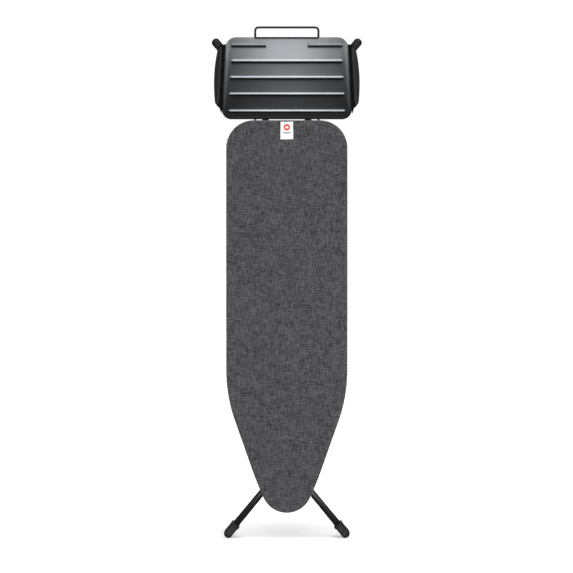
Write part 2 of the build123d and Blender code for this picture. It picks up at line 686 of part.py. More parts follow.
with BuildPart() as cross_washers:
    gap = INNER_X + TUBE / 2
    outside = OUTER_X + TUBE / 2
    for side, word in SIDES:
        for low, high in ((gap + 0.15, gap + 0.85), (outside + 0.1, outside + 1.3)):
            add(rod_x(8.5, mirrored(side, low, high), TUBE_DEPTH, CROSS_Z))
            hole = mirrored(side, low - 1, high + 1)
            add(rod_x(CROSS_BOLT / 2 + 0.02, hole, TUBE_DEPTH, CROSS_Z), mode=Mode.SUBTRACT)
cross_washers.part.label = "cross_washers"
export_step(cross_washers.part, "parts/cross_washers.step")


FOOT_BREADTH = 27.0
FOOT_LENGTH = 54.0  # of the standing feet, from front to back, for a steady stand
CAP_LENGTH = 50.0
CAP_SOCKET = 38.0  # how far the tube goes in
TOE_ROUNDING = 11.0
EDGE_ROUNDING = 4.0
COLLAR_LENGTH = 7.0
COLLAR_STEP = 1.5


def foot_plane(knee, foot):
    """Plane at the open end of a foot's socket: x from front to back, z along the splayed tube."""
    run = (Vector(*foot) - Vector(*knee)).normalized()
    across = (Vector(0, 1, 0) - run * run.Y).normalized()
    return Plane(origin=Vector(*foot) - run * CAP_SOCKET, x_dir=across, z_dir=run)


def upper_cap(knee, foot):
    """Round moulded cap on a splayed tube, with a round toe and a collar."""
    socket = foot_plane(knee, foot)
    with BuildPart() as cap:
        with BuildSketch(socket):
            Circle(FOOT_BREADTH / 2)
        extrude(amount=CAP_LENGTH)
        toe = cap.faces().sort_by(Axis(tuple(socket.origin), tuple(socket.z_dir)))[-1]
        fillet(toe.edges(), TOE_ROUNDING)
        with BuildSketch(socket):
            Circle(FOOT_BREADTH / 2 + COLLAR_STEP)
        extrude(amount=COLLAR_LENGTH)
        with BuildSketch(socket):
            Circle(TUBE / 2 + 0.03)
        extrude(amount=CAP_SOCKET + 0.2, mode=Mode.SUBTRACT)
    return cap.part


def standing_shoe(knee, foot):
    """Moulded shoe on a splayed tube, long and level from front to back, with a round toe."""
    socket = foot_plane(knee, foot)
    middle = back(COLLAR_STEP + FOOT_LENGTH / 2)
    slope = Vector(socket.z_dir.X, 0, socket.z_dir.Z).normalized()
    start = Vector(socket.origin.X, middle, socket.origin.Z)
    mouth = Plane(origin=start, x_dir=(0, 1, 0), z_dir=slope)
    side_on = Plane(origin=start, x_dir=mouth.y_dir, z_dir=mouth.x_dir)
    with BuildPart() as shoe:
        with BuildSketch(side_on) as profile:
            with Locations((0, CAP_LENGTH / 2)):
                Rectangle(FOOT_BREADTH, CAP_LENGTH)
            fillet(profile.vertices().group_by(Axis.Y)[-1], TOE_ROUNDING)
        extrude(amount=FOOT_LENGTH / 2, both=True)
        ends = shoe.faces().sort_by(Axis.Y)
        fillet(ends[0].edges() + ends[-1].edges(), EDGE_ROUNDING)
        with BuildSketch(mouth):
            step = 2 * COLLAR_STEP
            RectangleRounded(FOOT_LENGTH + step, FOOT_BREADTH + step, EDGE_ROUNDING + COLLAR_STEP)
        extrude(amount=COLLAR_LENGTH)
        with BuildSketch(socket):
            Circle(TUBE / 2 + 0.03)
        extrude(amount=CAP_SOCKET + 0.2, mode=Mode.SUBTRACT)
        with BuildSketch(socket):
            Circle(TUBE / 2 + 0.03)
        extrude(amount=-COLLAR_LENGTH, mode=Mode.SUBTRACT)
    return shoe.part


for side, word in SIDES:
    knee = (side * INNER_X, back(TUBE_DEPTH), INNER_KNEE_Z)
    foot = (side * FOOT_X, back(FOOT_DEPTH), FOOT_Z)
    with BuildPart() as inner_foot:
        add(standing_shoe(knee, foot))
        split(bisect_by=Plane.XY, keep=Keep.TOP)
    inner_foot.part.label = f"inner_foot_{word}"
    export_step(inner_foot.part, f"parts/inner_foot_{word}.step")

# =====================================================================================
# Outer leg: two tubes hinged on the inner leg, sliding on the board at their lower ends
# =====================================================================================

for side, word in SIDES:
    knee = (side * OUTER_X, back(TUBE_DEPTH), OUTER_KNEE_Z)
    foot = (side * TOP_FOOT_X, back(TUBE_DEPTH), TOP_FOOT_Z)
    with BuildPart() as outer_leg_tube:
        low_end = (side * OUTER_X, back(TUBE_DEPTH), SLIDE_Z - 10)
        add(tube((low_end, knee, foot), BEND, TUBE, WALL))
        add(ear_slot(side, OUTER_X, SLIDE_Z, 1), mode=Mode.SUBTRACT)
        x = mirrored(side, OUTER_X - TUBE, OUTER_X + TUBE)
        add(rod_x(CROSS_BOLT / 2 + RUNNING, x, TUBE_DEPTH, CROSS_Z), mode=Mode.SUBTRACT)
    outer_leg_tube.part.label = f"outer_leg_tube_{word}"
    export_step(outer_leg_tube.part, f"parts/outer_leg_tube_{word}.step")

    with BuildPart() as outer_foot:
        add(upper_cap(knee, foot))
    outer_foot.part.label = f"outer_foot_{word}"
    export_step(outer_foot.part, f"parts/outer_foot_{word}.step")

with BuildPart() as outer_leg_brace:
    add(coped_tube(OUTER_X - 3, OUTER_X, 1262.0, BRACE))
outer_leg_brace.part.label = "outer_leg_brace"
export_step(outer_leg_brace.part, "parts/outer_leg_brace.step")

with BuildPart() as outer_leg_ears:
    for side, word in SIDES:
        add(ear(side, OUTER_X, SLIDE_Z, 1))
outer_leg_ears.part.label = "outer_leg_ears"
export_step(outer_leg_ears.part, "parts/outer_leg_ears.step")

AXLE_END = 97.0
with BuildPart() as slide_axle:
    add(rod_x(AXLE / 2, (-AXLE_END, AXLE_END), AXLE_DEPTH, SLIDE_Z))
slide_axle.part.label = "slide_axle"
export_step(slide_axle.part, "parts/slide_axle.step")

# =====================================================================================
# Carriage: two nylon shoes in the rails, the bar that joins them, and the height lock
# =====================================================================================

SHOE_LOW, SHOE_HIGH = SLIDE_Z - 40, SLIDE_Z + 18
BAR_LOW, BAR_HIGH = SLIDE_Z - 38, SLIDE_Z - 18
BAR_FRONT, BAR_BACK = 24.0, 27.0
BOLT_Z = SLIDE_Z - BOLT_DROP

for side, word in SIDES:
    with BuildPart() as slide_shoe:
        add(block(mirrored(side, 87.0, 101.0), (17.9, 44.1), (SHOE_LOW, SHOE_HIGH)))
        add(block(mirrored(side, 81.0, 87.0), (BAR_BACK, 38.5), (BAR_LOW, BAR_HIGH)))
        add(block(mirrored(side, 86.0, 87.1), (BAR_BACK, 38.5), (BAR_LOW, BAR_HIGH)))
        x = mirrored(side, 80.0, AXLE_END + 0.5)
        add(rod_x(AXLE / 2 + RUNNING, x, AXLE_DEPTH, SLIDE_Z), mode=Mode.SUBTRACT)
    slide_shoe.part.label = f"slide_shoe_{word}"
    export_step(slide_shoe.part, f"parts/slide_shoe_{word}.step")

HOUSING_HALF = 15.0
CHEEK_IN = 9.0
HOUSING_BACK = 52.0
HOUSING_LOW, HOUSING_HIGH = SLIDE_Z - 60, SLIDE_Z - 14
LEVER_PIN = 4.0
LEVER_PIN_DEPTH = 46.0
LEVER_PIN_Z = SLIDE_Z - 50
CROSS_PIN_DEPTH = 52.0

with BuildPart() as carriage_bar:
    add(block((-86.8, 86.8), (BAR_FRONT, BAR_BACK), (BAR_LOW, BAR_HIGH)))
    add(rod_y(BOLT / 2 + 0.6, 0, (BAR_FRONT, BAR_BACK), BOLT_Z), mode=Mode.SUBTRACT)
    for x in (-11, 11):
        add(rod_y(2.05, x, (BAR_FRONT, BAR_BACK), BAR_HIGH - 5), mode=Mode.SUBTRACT)
carriage_bar.part.label = "carriage_bar"
export_step(carriage_bar.part, "parts/carriage_bar.step")

with BuildPart() as lock_housing:
    cheeks = (-HOUSING_HALF, HOUSING_HALF)
    add(block(cheeks, (BAR_BACK, HOUSING_BACK), (HOUSING_LOW, HOUSING_HIGH), rounding=3))
    pocket = (-CHEEK_IN, CHEEK_IN)
    add(block(pocket, (38, HOUSING_BACK + 1), (HOUSING_LOW - 1, HOUSING_HIGH - 6)), mode=Mode.SUBTRACT)
    add(rod_y(BOLT / 2 + 0.08, 0, (BAR_BACK - 1, 40), BOLT_Z), mode=Mode.SUBTRACT)
    add(rod_x(LEVER_PIN / 2 + 0.02, (-16, 16), LEVER_PIN_DEPTH, LEVER_PIN_Z), mode=Mode.SUBTRACT)
    for x in (-11, 11):
        add(rod_y(2.05, x, (BAR_BACK, BAR_BACK + 8), BAR_HIGH - 5), mode=Mode.SUBTRACT)
lock_housing.part.label = "lock_housing"
export_step(lock_housing.part, "parts/lock_housing.step")

with BuildPart() as housing_screws:
    for x in (-11, 11):
        add(rod_y(2.0, x, (BAR_FRONT, BAR_BACK + 7.5), BAR_HIGH - 5))
        add(rod_y(3.8, x, (BAR_FRONT - 2.4, BAR_FRONT), BAR_HIGH - 5))
housing_screws.part.label = "housing_screws"
export_step(housing_screws.part, "parts/housing_screws.step")

with BuildPart() as lever_pin:
    add(rod_x(LEVER_PIN / 2, (-15.5, 15.5), LEVER_PIN_DEPTH, LEVER_PIN_Z))
    for side, word in SIDES:
        add(rod_x(3.4, mirrored(side, 15.1, 16.6), LEVER_PIN_DEPTH, LEVER_PIN_Z))
lever_pin.part.label = "lever_pin"
export_step(lever_pin.part, "parts/lever_pin.step")

BOLT_TIP = 19.7

# the bolt is drawn back at rest, clear of the rack; a slot in its tail takes the lever
with BuildPart() as lock_bolt:
    add(rod_y(BOLT / 2, 0, (BOLT_TIP, 57), BOLT_Z))
    chamfer(lock_bolt.faces().sort_by(Axis.Y)[0].edges(), 1)
    add(block((-2.4, 2.4), (43.5, 58), (BOLT_Z - 6, BOLT_Z + 6)), mode=Mode.SUBTRACT)
    for x in ((-4, -2.4), (2.4, 4)):
        add(rod_x(1.52, x, CROSS_PIN_DEPTH, BOLT_Z), mode=Mode.SUBTRACT)
lock_bolt.part.label = "lock_bolt"
export_step(lock_bolt.part, "parts/lock_bolt.step")

with BuildPart() as bolt_pin:
    add(rod_x(1.5, (-3.9, 3.9), CROSS_PIN_DEPTH, BOLT_Z))
bolt_pin.part.label = "bolt_pin"
export_step(bolt_pin.part, "parts/bolt_pin.step")

LEVER_HALF = 2.0
GRIP_TOP, GRIP_LOW = SLIDE_Z - 80, SLIDE_Z - 142


def lever_profile(points):
    """Closed outline in the plane across X, given as depth and Z pairs."""
    return [(back(depth), z) for depth, z in points]


# bell crank: a short forked arm on the bolt's pin and a long arm down to the grip
with BuildPart() as release_lever:
    with BuildSketch(Plane.YZ.offset(-LEVER_HALF)) as crank:
        Polygon(
            *lever_profile(
                (
                    (LEVER_PIN_DEPTH - 5, LEVER_PIN_Z),
                    (CROSS_PIN_DEPTH - 5, BOLT_Z + 4),
                    (CROSS_PIN_DEPTH + 5, BOLT_Z + 4),
                    (LEVER_PIN_DEPTH + 6, LEVER_PIN_Z - 4),
                    (44, GRIP_LOW + 6),
                    (37, GRIP_LOW + 6),
                )
            ),
            align=None,
        )
        with Locations((back(CROSS_PIN_DEPTH), BOLT_Z + 1)):
            SlotOverall(9, 3.9, rotation=78, mode=Mode.SUBTRACT)
        with Locations((back(LEVER_PIN_DEPTH), LEVER_PIN_Z)):
            Circle(LEVER_PIN / 2 + RUNNING, mode=Mode.SUBTRACT)
    extrude(amount=2 * LEVER_HALF)
release_lever.part.label = "release_lever"
export_step(release_lever.part, "parts/release_lever.step")

# moulded grip over the end of the lever
with BuildPart() as lever_grip:
    add(block((-14, 14), (33.5, 47.5), (GRIP_LOW, GRIP_TOP)))
    fillet(lever_grip.edges(), 4)
    slot = (-LEVER_HALF - 0.05, LEVER_HALF + 0.05)
    add(block(slot, (36.2, 49), (GRIP_LOW + 5, GRIP_TOP + 1)), mode=Mode.SUBTRACT)
lever_grip.part.label = "lever_grip"
export_step(lever_grip.part, "parts/lever_grip.step")

# torsion spring round the lever's pin
with BuildPart() as lever_spring:
    with BuildLine():
        coil = Helix(
            pitch=1.5,
            height=4.5,
            radius=3.4,
            center=(3.2, back(LEVER_PIN_DEPTH), LEVER_PIN_Z),
            direction=(1, 0, 0),
        )
    with BuildSketch(Plane(origin=coil @ 0, z_dir=coil % 0)):
        Circle(0.55)
    sweep(is_frenet=True)
lever_spring.part.label = "lever_spring"
export_step(lever_spring.part, "parts/lever_spring.step")
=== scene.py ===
import math

import bmesh
import bpy
import numpy as np
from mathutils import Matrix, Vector


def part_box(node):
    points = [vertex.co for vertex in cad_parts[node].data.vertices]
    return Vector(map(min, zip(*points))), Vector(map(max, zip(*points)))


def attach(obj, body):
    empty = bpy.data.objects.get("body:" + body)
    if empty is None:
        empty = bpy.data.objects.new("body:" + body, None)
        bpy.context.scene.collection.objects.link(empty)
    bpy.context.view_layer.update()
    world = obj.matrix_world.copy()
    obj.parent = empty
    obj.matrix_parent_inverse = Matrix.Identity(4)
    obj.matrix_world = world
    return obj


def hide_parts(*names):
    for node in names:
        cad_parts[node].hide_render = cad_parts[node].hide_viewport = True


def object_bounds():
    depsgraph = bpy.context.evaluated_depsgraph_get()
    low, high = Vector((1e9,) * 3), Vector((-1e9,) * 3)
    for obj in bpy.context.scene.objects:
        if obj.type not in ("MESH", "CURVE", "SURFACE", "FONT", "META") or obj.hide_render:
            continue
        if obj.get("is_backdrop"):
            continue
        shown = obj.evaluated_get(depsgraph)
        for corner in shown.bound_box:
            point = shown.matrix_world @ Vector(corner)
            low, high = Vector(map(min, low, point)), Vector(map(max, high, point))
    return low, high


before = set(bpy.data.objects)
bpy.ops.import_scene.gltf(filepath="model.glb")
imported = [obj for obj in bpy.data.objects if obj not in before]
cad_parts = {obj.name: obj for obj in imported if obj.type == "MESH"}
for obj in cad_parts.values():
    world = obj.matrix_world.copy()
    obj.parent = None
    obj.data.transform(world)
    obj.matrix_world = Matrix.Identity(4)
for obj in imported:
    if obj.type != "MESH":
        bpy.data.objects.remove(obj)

# ---------------------------------------------------------------------------------------------
# The stage. A white floor runs out to a white surround, as in a product studio. Soft boxes hang
# high and low in front, at each side, overhead and behind, and the camera looks level at the board.
# ---------------------------------------------------------------------------------------------
cad_low, cad_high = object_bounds()
height = cad_high.z
MM = 0.001

CAMERA_DISTANCE = 5.0
VIEW_WIDTH = 1.812  # width of the view at the board's face
VIEW_X, VIEW_Z = -0.001, 0.4905 * height  # where the camera looks: a hair off centre, half-way up
SENSOR = 36.0
camera_data = bpy.data.cameras.new("camera")
camera_data.sensor_width = SENSOR
camera_data.lens = SENSOR * CAMERA_DISTANCE / VIEW_WIDTH
camera_data.clip_end = 100.0
camera = bpy.data.objects.new("camera", camera_data)
bpy.context.scene.collection.objects.link(camera)
camera.location = (VIEW_X, cad_low.y - CAMERA_DISTANCE, VIEW_Z)
camera.rotation_euler = (math.radians(90), 0, 0)
bpy.context.scene.camera = camera
bpy.context.scene.view_settings.view_transform = "Standard"


class Value:
    """One socket of a node tree, with arithmetic that adds Math nodes."""

    def __init__(self, tree, socket):
        self.tree = tree
        self.socket = socket

    def node(self, kind, settings=None, inputs=None, output=0):
        """Add a node, set its settings, feed its sockets and return one of its outputs."""
        made = self.tree.nodes.new(kind)
        for key, value in (settings or {}).items():
            if key == "stops":
                ramp = made.color_ramp
                while len(ramp.elements) < len(value):
                    ramp.elements.new(0.5)
                for element, (place, colour) in zip(ramp.elements, value):
                    element.position = place
                    element.color = (*colour, 1.0)
            else:
                setattr(made, key, value)
        for key, value in (inputs or {}).items():
            if isinstance(value, Value):
                self.tree.links.new(value.socket, made.inputs[key])
            else:
                made.inputs[key].default_value = value
        return Value(self.tree, made.outputs[output])

    def maths(self, operation, *others):
        """Add a Math node fed by this value and the others, in that order."""
        return self.node("ShaderNodeMath", {"operation": operation}, dict(enumerate((self, *others))))

    def __add__(self, other):
        return self.maths("ADD", other)

    __radd__ = __add__

    def __mul__(self, other):
        return self.maths("MULTIPLY", other)

    __rmul__ = __mul__

    def __sub__(self, other):
        return self.maths("SUBTRACT", other)

    def __rsub__(self, other):
        return self.node("ShaderNodeMath", {"operation": "SUBTRACT"}, {0: other, 1: self})


def new_material(name, roughness, specular=0.5, more=None):
    """A principled material; returns it with its object coordinates and a link function."""
    material = bpy.data.materials.new(name)
    material.use_nodes = True
    tree = material.node_tree
    shader = tree.nodes["Principled BSDF"]
    fixed = {"Roughness": roughness, "Specular IOR Level": specular, **(more or {})}
    for socket, value in fixed.items():
        shader.inputs[socket].default_value = value
    place = Value(tree, tree.nodes.new("ShaderNodeTexCoord").outputs["Object"])

    def feed(socket, value):
        """Link a value to one of the shader's sockets."""
        tree.links.new(value.socket, shader.inputs[socket])

    return material, place, feed


def mix(share, dark, light):
    """Blend two colours, each a triple or a value, by a share from 0 to 1."""
    a, b = [(*c, 1.0) if isinstance(c, tuple) else c for c in (dark, light)]
    return share.node("ShaderNodeMix", {"data_type": "RGBA"}, {0: share, 6: a, 7: b}, output=2)


def noise(place, scale, detail=3.0, roughness=0.5, stretch=(1, 1, 1)):
    """Noise of a given scale per metre, squeezed or stretched along the axes."""
    scaled = place.node("ShaderNodeMapping", inputs={"Vector": place, "Scale": stretch})
    wanted = {"Vector": scaled, "Scale": scale, "Detail": detail, "Roughness": roughness}
    return place.node("ShaderNodeTexNoise", inputs=wanted)


def spread_out(value, low, high):
    """Stretch low..high to 0..1 and clip what lies outside."""
    return value.node("ShaderNodeMapRange", inputs={"Value": value, "From Min": low, "From Max": high})


def bump(height_value, strength, distance):
    """Normal disturbed by a height."""
    wanted = {"Height": height_value, "Strength": strength, "Distance": distance}
    return height_value.node("ShaderNodeBump", inputs=wanted)


def area_light(name, place, aim, size, power):
    """Rectangular soft box at a place, facing a point, hidden from the camera itself."""
    lamp = bpy.data.lights.new(name, "AREA")
    lamp.shape = "RECTANGLE"
    lamp.size, lamp.size_y = size
    lamp.energy = power
    holder = bpy.data.objects.new(name, lamp)
    holder.location = place
    holder.rotation_euler = (Vector(aim) - Vector(place)).to_track_quat("-Z", "Y").to_euler()
    holder.visible_camera = False
    bpy.context.scene.collection.objects.link(holder)


area_light("key_box", (0.2, -3.6, 3.6), (0, 0, 0.8), (2.6, 1.2), 52)
area_light("low_box", (0.1, -3.4, 0.35), (0, 0, 0.25), (1.6, 0.6), 172)
area_light("left_box", (-3.0, -1.6, 1.2), (0, 0, 0.6), (1.4, 2.4), 9)
area_light("right_box", (3.0, -1.2, 1.2), (0, 0, 0.6), (1.4, 2.4), 36)
area_light("top_box", (0, -0.6, 4.2), (0, 0, 0.6), (2.4, 1.6), 80)
area_light("back_box", (0, 3.2, 1.2), (0, 0, 0.8), (2.2, 1.6), 14)

world = bpy.data.worlds.new("surround")
bpy.context.scene.world = world
world.use_nodes = True
tree = world.node_tree
seen = Value(tree, tree.nodes.new("ShaderNodeLightPath").outputs["Is Camera Ray"])
direction = seen.node("ShaderNodeTexCoord", output="Generated")
upward = direction.node("ShaderNodeSeparateXYZ", inputs={0: direction}, output=2)
ceiling = mix(spread_out(upward, -0.5, 0.8), (0.07, 0.07, 0.07), (0.30, 0.30, 0.31))
sky = tree.nodes["Background"]
sky.inputs["Strength"].default_value = 1.0
tree.links.new(mix(seen, ceiling, (1.05, 1.05, 1.05)).socket, sky.inputs["Color"])

FLOOR_HALF, FLOOR_DROP = 30.0, 0.2 * MM
floor_mesh = bpy.data.meshes.new("floor")
corners = [(x * FLOOR_HALF, y * FLOOR_HALF, -FLOOR_DROP) for x, y in ((-1, -1), (1, -1), (1, 1), (-1, 1))]
floor_mesh.from_pydata(corners, [], [(0, 1, 2, 3)])
floor = bpy.data.objects.new("floor", floor_mesh)
bpy.context.scene.collection.objects.link(floor)
GLOW_NEAR, GLOW_FAR = 0.25, 0.9  # the floor brightens to full white between these distances
material, place, feed = new_material("studio_floor", 0.7, 0.2, {"Emission Strength": 1.0})
feed("Base Color", mix(noise(place, 1.2, 2.0), (0.86, 0.86, 0.86), (0.9, 0.9, 0.9)))
away = place.node("ShaderNodeVectorMath", {"operation": "LENGTH"}, {0: place}, output="Value")
glow = spread_out(away, GLOW_NEAR, GLOW_FAR)
feed("Emission Color", mix(glow, (0.24, 0.24, 0.24), (1.0, 1.0, 1.0)))
floor.data.materials.append(material)
floor.visible_diffuse = False
floor.visible_glossy = False
floor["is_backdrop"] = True


# ---------------------------------------------------------------------------------------------
# The padding. A steel-rimmed board carries a layer of needled felt and a sheet of open-cell
# foam, both cut to the board's outline: a round nose, straight flared sides and a broad heel.
# ---------------------------------------------------------------------------------------------
cover_low, cover_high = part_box("cover")
FRONT = cover_low.y
NOSE_Z, HEEL_Z = cover_low.z, cover_high.z
HALF_WIDTH = cover_high.x
NOSE_RADIUS, BELLY_RADIUS = 0.081, 1.030
SHOULDER_RADIUS, HEEL_RADIUS = 0.487, 0.088
NOSE_TURN, BELLY_TURN = math.radians(65.0), math.radians(5.7)


def board_outline(steps=48):
    """Points and outward normals round the board, from the nose up the right side and back.

    Walk along tangent arcs: each arc adds (sin, -cos) of its heading times its radius, a straight
    run adds its heading times its length, and the left side mirrors the right.
    """
    slant = NOSE_TURN + BELLY_TURN
    reach = NOSE_RADIUS * math.sin(NOSE_TURN)
    reach += BELLY_RADIUS * (math.sin(slant) - math.sin(NOSE_TURN))
    reach += SHOULDER_RADIUS * (1 - math.sin(slant))
    straight = (HALF_WIDTH - reach) / math.cos(slant)
    rise = NOSE_RADIUS * (1 - math.cos(NOSE_TURN))
    rise += BELLY_RADIUS * (math.cos(NOSE_TURN) - math.cos(slant)) + straight * math.sin(slant)
    rise += SHOULDER_RADIUS * math.cos(slant)
    flank = HEEL_Z - HEEL_RADIUS - NOSE_Z - rise
    heel = HALF_WIDTH - HEEL_RADIUS
    runs = (
        (NOSE_RADIUS, 0.0, NOSE_TURN, steps),
        (BELLY_RADIUS, NOSE_TURN, slant, steps // 4),
        (None, slant, straight, steps // 2),
        (SHOULDER_RADIUS, slant, math.pi / 2, steps),
        (None, math.pi / 2, flank, 2 * steps),
        (HEEL_RADIUS, math.pi / 2, math.pi, steps),
        (None, math.pi, heel, steps // 2),
    )
    points, headings, pen = [], [], np.array([0.0, NOSE_Z])
    for radius, start, end, count in runs:
        t = np.linspace(0, 1, count, endpoint=False)
        if radius is None:
            step = np.array([math.cos(start), math.sin(start)])
            points.append(pen + np.outer(t * end, step))
            headings.append(np.full(count, start))
            pen = pen + step * end
        else:
            turn = start + (end - start) * t
            centre = pen + radius * np.array([-math.sin(start), math.cos(start)])
            points.append(centre + radius * np.stack([np.sin(turn), -np.cos(turn)], 1))
            headings.append(turn)
            pen = centre + radius * np.array([math.sin(end), -math.cos(end)])
    points.append(pen[None])
    headings.append(np.array([math.pi]))
    right, heading = np.concatenate(points), np.concatenate(headings)
    normal = np.stack([np.sin(heading), -np.cos(heading)], 1)
    left, left_normal = right[1:-1][::-1] * (-1, 1), normal[1:-1][::-1] * (-1, 1)
    return np.concatenate([right, left]), np.concatenate([normal, left_normal])


OUTLINE, OUTWARD = board_outline()


def put_mesh(name, points, faces, smooth=True):
    """Mesh object at the origin from an array of points and an array of faces."""
    mesh = bpy.data.meshes.new(name)
    mesh.from_pydata(points.reshape(-1, 3).tolist(), [], faces.tolist())
    mesh.update()
    mesh.shade_smooth() if smooth else mesh.shade_flat()
    piece = bpy.data.objects.new(name, mesh)
    bpy.context.scene.collection.objects.link(piece)
    return piece


def grid_faces(rows, columns, wrap_rows=False, wrap_columns=False):
    """Quads of a grid of points numbered row by row, joined round where it wraps."""
    r = np.arange(rows if wrap_rows else rows - 1)[:, None]
    c = np.arange(columns if wrap_columns else columns - 1)[None]
    r2, c2 = (r + 1) % rows, (c + 1) % columns
    quads = np.stack([r * columns + c, r * columns + c2, r2 * columns + c2, r2 * columns + c], -1)
    return quads.reshape(-1, 4)


def close_seams(piece, merge=1e-6):
    """Merge points that coincide and turn every face outwards."""
    work = bmesh.new()
    work.from_mesh(piece.data)
    bmesh.ops.remove_doubles(work, verts=work.verts, dist=merge)
    bmesh.ops.dissolve_degenerate(work, edges=work.edges, dist=merge / 2)
    bmesh.ops.recalc_face_normals(work, faces=work.faces)
    work.to_mesh(piece.data)
    work.free()
    return piece


def board_layer(name, profile, ripple=None):
    """Sheet over the board: each row of the profile is (share, inset, depth).

    A point is the outline moved in by the inset, then by that share of the way to the spine that
    joins the centres of the nose and heel arcs, at that depth behind the cover's face.
    """
    share, inset, depth = np.array(profile, float).T
    edge = OUTLINE[None] - inset[:, None, None] * OUTWARD[None]
    spine_z = np.clip(OUTLINE[:, 1], NOSE_Z + NOSE_RADIUS, HEEL_Z - HEEL_RADIUS)
    spine = np.stack([np.zeros_like(spine_z), spine_z], 1)
    flat = edge + share[:, None, None] * (spine[None] - edge)
    y = np.broadcast_to(FRONT + depth[:, None], flat.shape[:2])
    points = np.stack([flat[..., 0], y, flat[..., 1]], -1)
    if ripple is not None:
        points = ripple(points, share, inset, depth)
    return close_seams(put_mesh(name, points, grid_faces(len(profile), len(OUTLINE), wrap_columns=True)))


def spine_to(inset, depth, steps):
    """Profile rows across one flat side, from the spine to an inset edge."""
    return [(s, inset, depth) for s in np.linspace(1, 0, steps + 1)]


def front_corner(inset, depth, radius, steps=6):
    """Profile rows round the quarter circle that turns from the front to the side."""
    turns = np.linspace(0, math.pi / 2, steps + 1)[1:]
    return [(0, inset + radius * (1 - math.sin(a)), depth + radius * (1 - math.cos(a))) for a in turns]


PAD_INSET = 1.5 * MM
FOAM_ROUNDING = 3.5 * MM
LAYER_GAP = 0.02 * MM  # foam and felt each stop this far short of the plane where they meet
foam_low, foam_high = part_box("foam_pad")
foam_front, foam_back = foam_low.y - FRONT, foam_high.y - FRONT

foam_rows = spine_to(PAD_INSET + FOAM_ROUNDING, foam_front, 8)
foam_rows += front_corner(PAD_INSET, foam_front, FOAM_ROUNDING)
foam_rows += [(0, PAD_INSET, foam_back - LAYER_GAP)]
foam_rows += spine_to(PAD_INSET, foam_back - LAYER_GAP, 4)[::-1]
foam = board_layer("foam_sheet", foam_rows)
material, place, feed = new_material("open_cell_foam", 0.9, 0.2)
cells = place.node("ShaderNodeTexVoronoi", inputs={"Vector": place, "Scale": 900.0})
feed("Base Color", mix(noise(place, 40.0), (0.70, 0.68, 0.60), (0.84, 0.82, 0.74)))
feed("Normal", bump(cells, 0.6, 0.0006))
foam.data.materials.append(material)
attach(foam, "board")
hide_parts("foam_pad")


felt_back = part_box("felt_underlay")[1].y - FRONT
FELT_SAG = 0.12 * MM


def felt_ripple(points, share, inset, depth):
    """Felt sags a little into the openings of the mesh: a low product of sines on its back."""
    x, z = points[..., 0], points[..., 2]
    back = (depth > felt_back - 0.1 * MM)[:, None]
    wave = np.sin(x * 380) * np.sin(z * 520 + x * 60)
    points[..., 1] -= np.where(back, FELT_SAG * (1 + wave), 0)
    return points


felt_rows = spine_to(PAD_INSET, foam_back + LAYER_GAP, 4) + spine_to(PAD_INSET, felt_back, 44)[::-1]
felt = board_layer("felt_layer", felt_rows, felt_ripple)
material, place, feed = new_material("needled_felt", 0.95, 0.1)
fibres = noise(place, 700.0, 4.0, 0.7, (1, 1, 0.35))
flecks = spread_out(noise(place, 260.0, 3.0, 0.7), 0.35, 0.7)
feed("Base Color", mix(flecks, (0.62, 0.60, 0.56), (0.80, 0.79, 0.76)))
feed("Normal", bump(fibres, 0.8, 0.0005))
felt.data.materials.append(material)
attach(felt, "board")
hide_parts("felt_underlay")


# ---------------------------------------------------------------------------------------------
# The cover. A washed black cotton with thick and thin linen-look threads, cut a few centimetres
# larger than the board all round, drawn over the foam's edge and gathered in a hem underneath.
# ---------------------------------------------------------------------------------------------
EDGE_RADIUS = 5.0 * MM
BACK_RADIUS = 2.0 * MM
HEM = 21.0 * MM
cover_depth = cover_high.y - cover_low.y
HOLLOW = 0.22 * MM  # how far the cloth moves on the face and along its side
GATHERS = 150
GATHER_DEPTH = 0.32 * MM
HEM_DRAW = 0.24 * MM  # how far the hem is drawn up against the rim


def cover_ripple(points, share, inset, depth):
    """Soft hollows where the cloth is pulled over the foam, and gathers along the hem.

    On the face a sum of slow sines moves the cloth by a fraction of a millimetre; on the side and
    hem a sine round the outline grows towards the hem's inner edge.
    """
    x, z = points[..., 0], points[..., 2]
    face = ((depth < 1.0 * MM) & (share > 0))[:, None]
    slow = np.sin(x * 21 + 1.3) * np.sin(z * 9 + 0.4) + 0.6 * np.sin(x * 37 - z * 13 + 2.0)
    points[..., 1] += np.where(face, HOLLOW * (slow + 1.6), 0)
    pull = np.clip((depth - 0.55 * cover_depth) / (0.45 * cover_depth), 0, 1)[:, None]
    pull = pull * (1 + 2.2 * np.clip(inset / HEM, 0, 1)[:, None])
    round_board = 2 * np.pi * np.linspace(0, 1, points.shape[1], endpoint=False)[None]
    fold = np.sin(GATHERS * round_board + 1.8 * np.sin(31 * round_board))
    fold = fold * (0.7 + 0.3 * np.sin(53 * round_board))
    outward = np.stack([OUTWARD[:, 0], np.zeros(len(OUTWARD)), OUTWARD[:, 1]], 1)[None]
    flank = (inset < 1.0 * MM)[:, None]
    points -= np.where(flank, HOLLOW * pull * (1 + fold), 0)[..., None] * outward
    points[..., 1] += np.where(flank, 0, GATHER_DEPTH * pull * fold - HEM_DRAW * pull)
    return points


def back_corner(inset, depth, radius, steps=6):
    """Profile rows round the quarter circle that turns from the side to the back."""
    turns = np.linspace(0, math.pi / 2, steps + 1)[1:]
    return [(0, inset + radius * (1 - math.cos(a)), depth - radius * (1 - math.sin(a))) for a in turns]


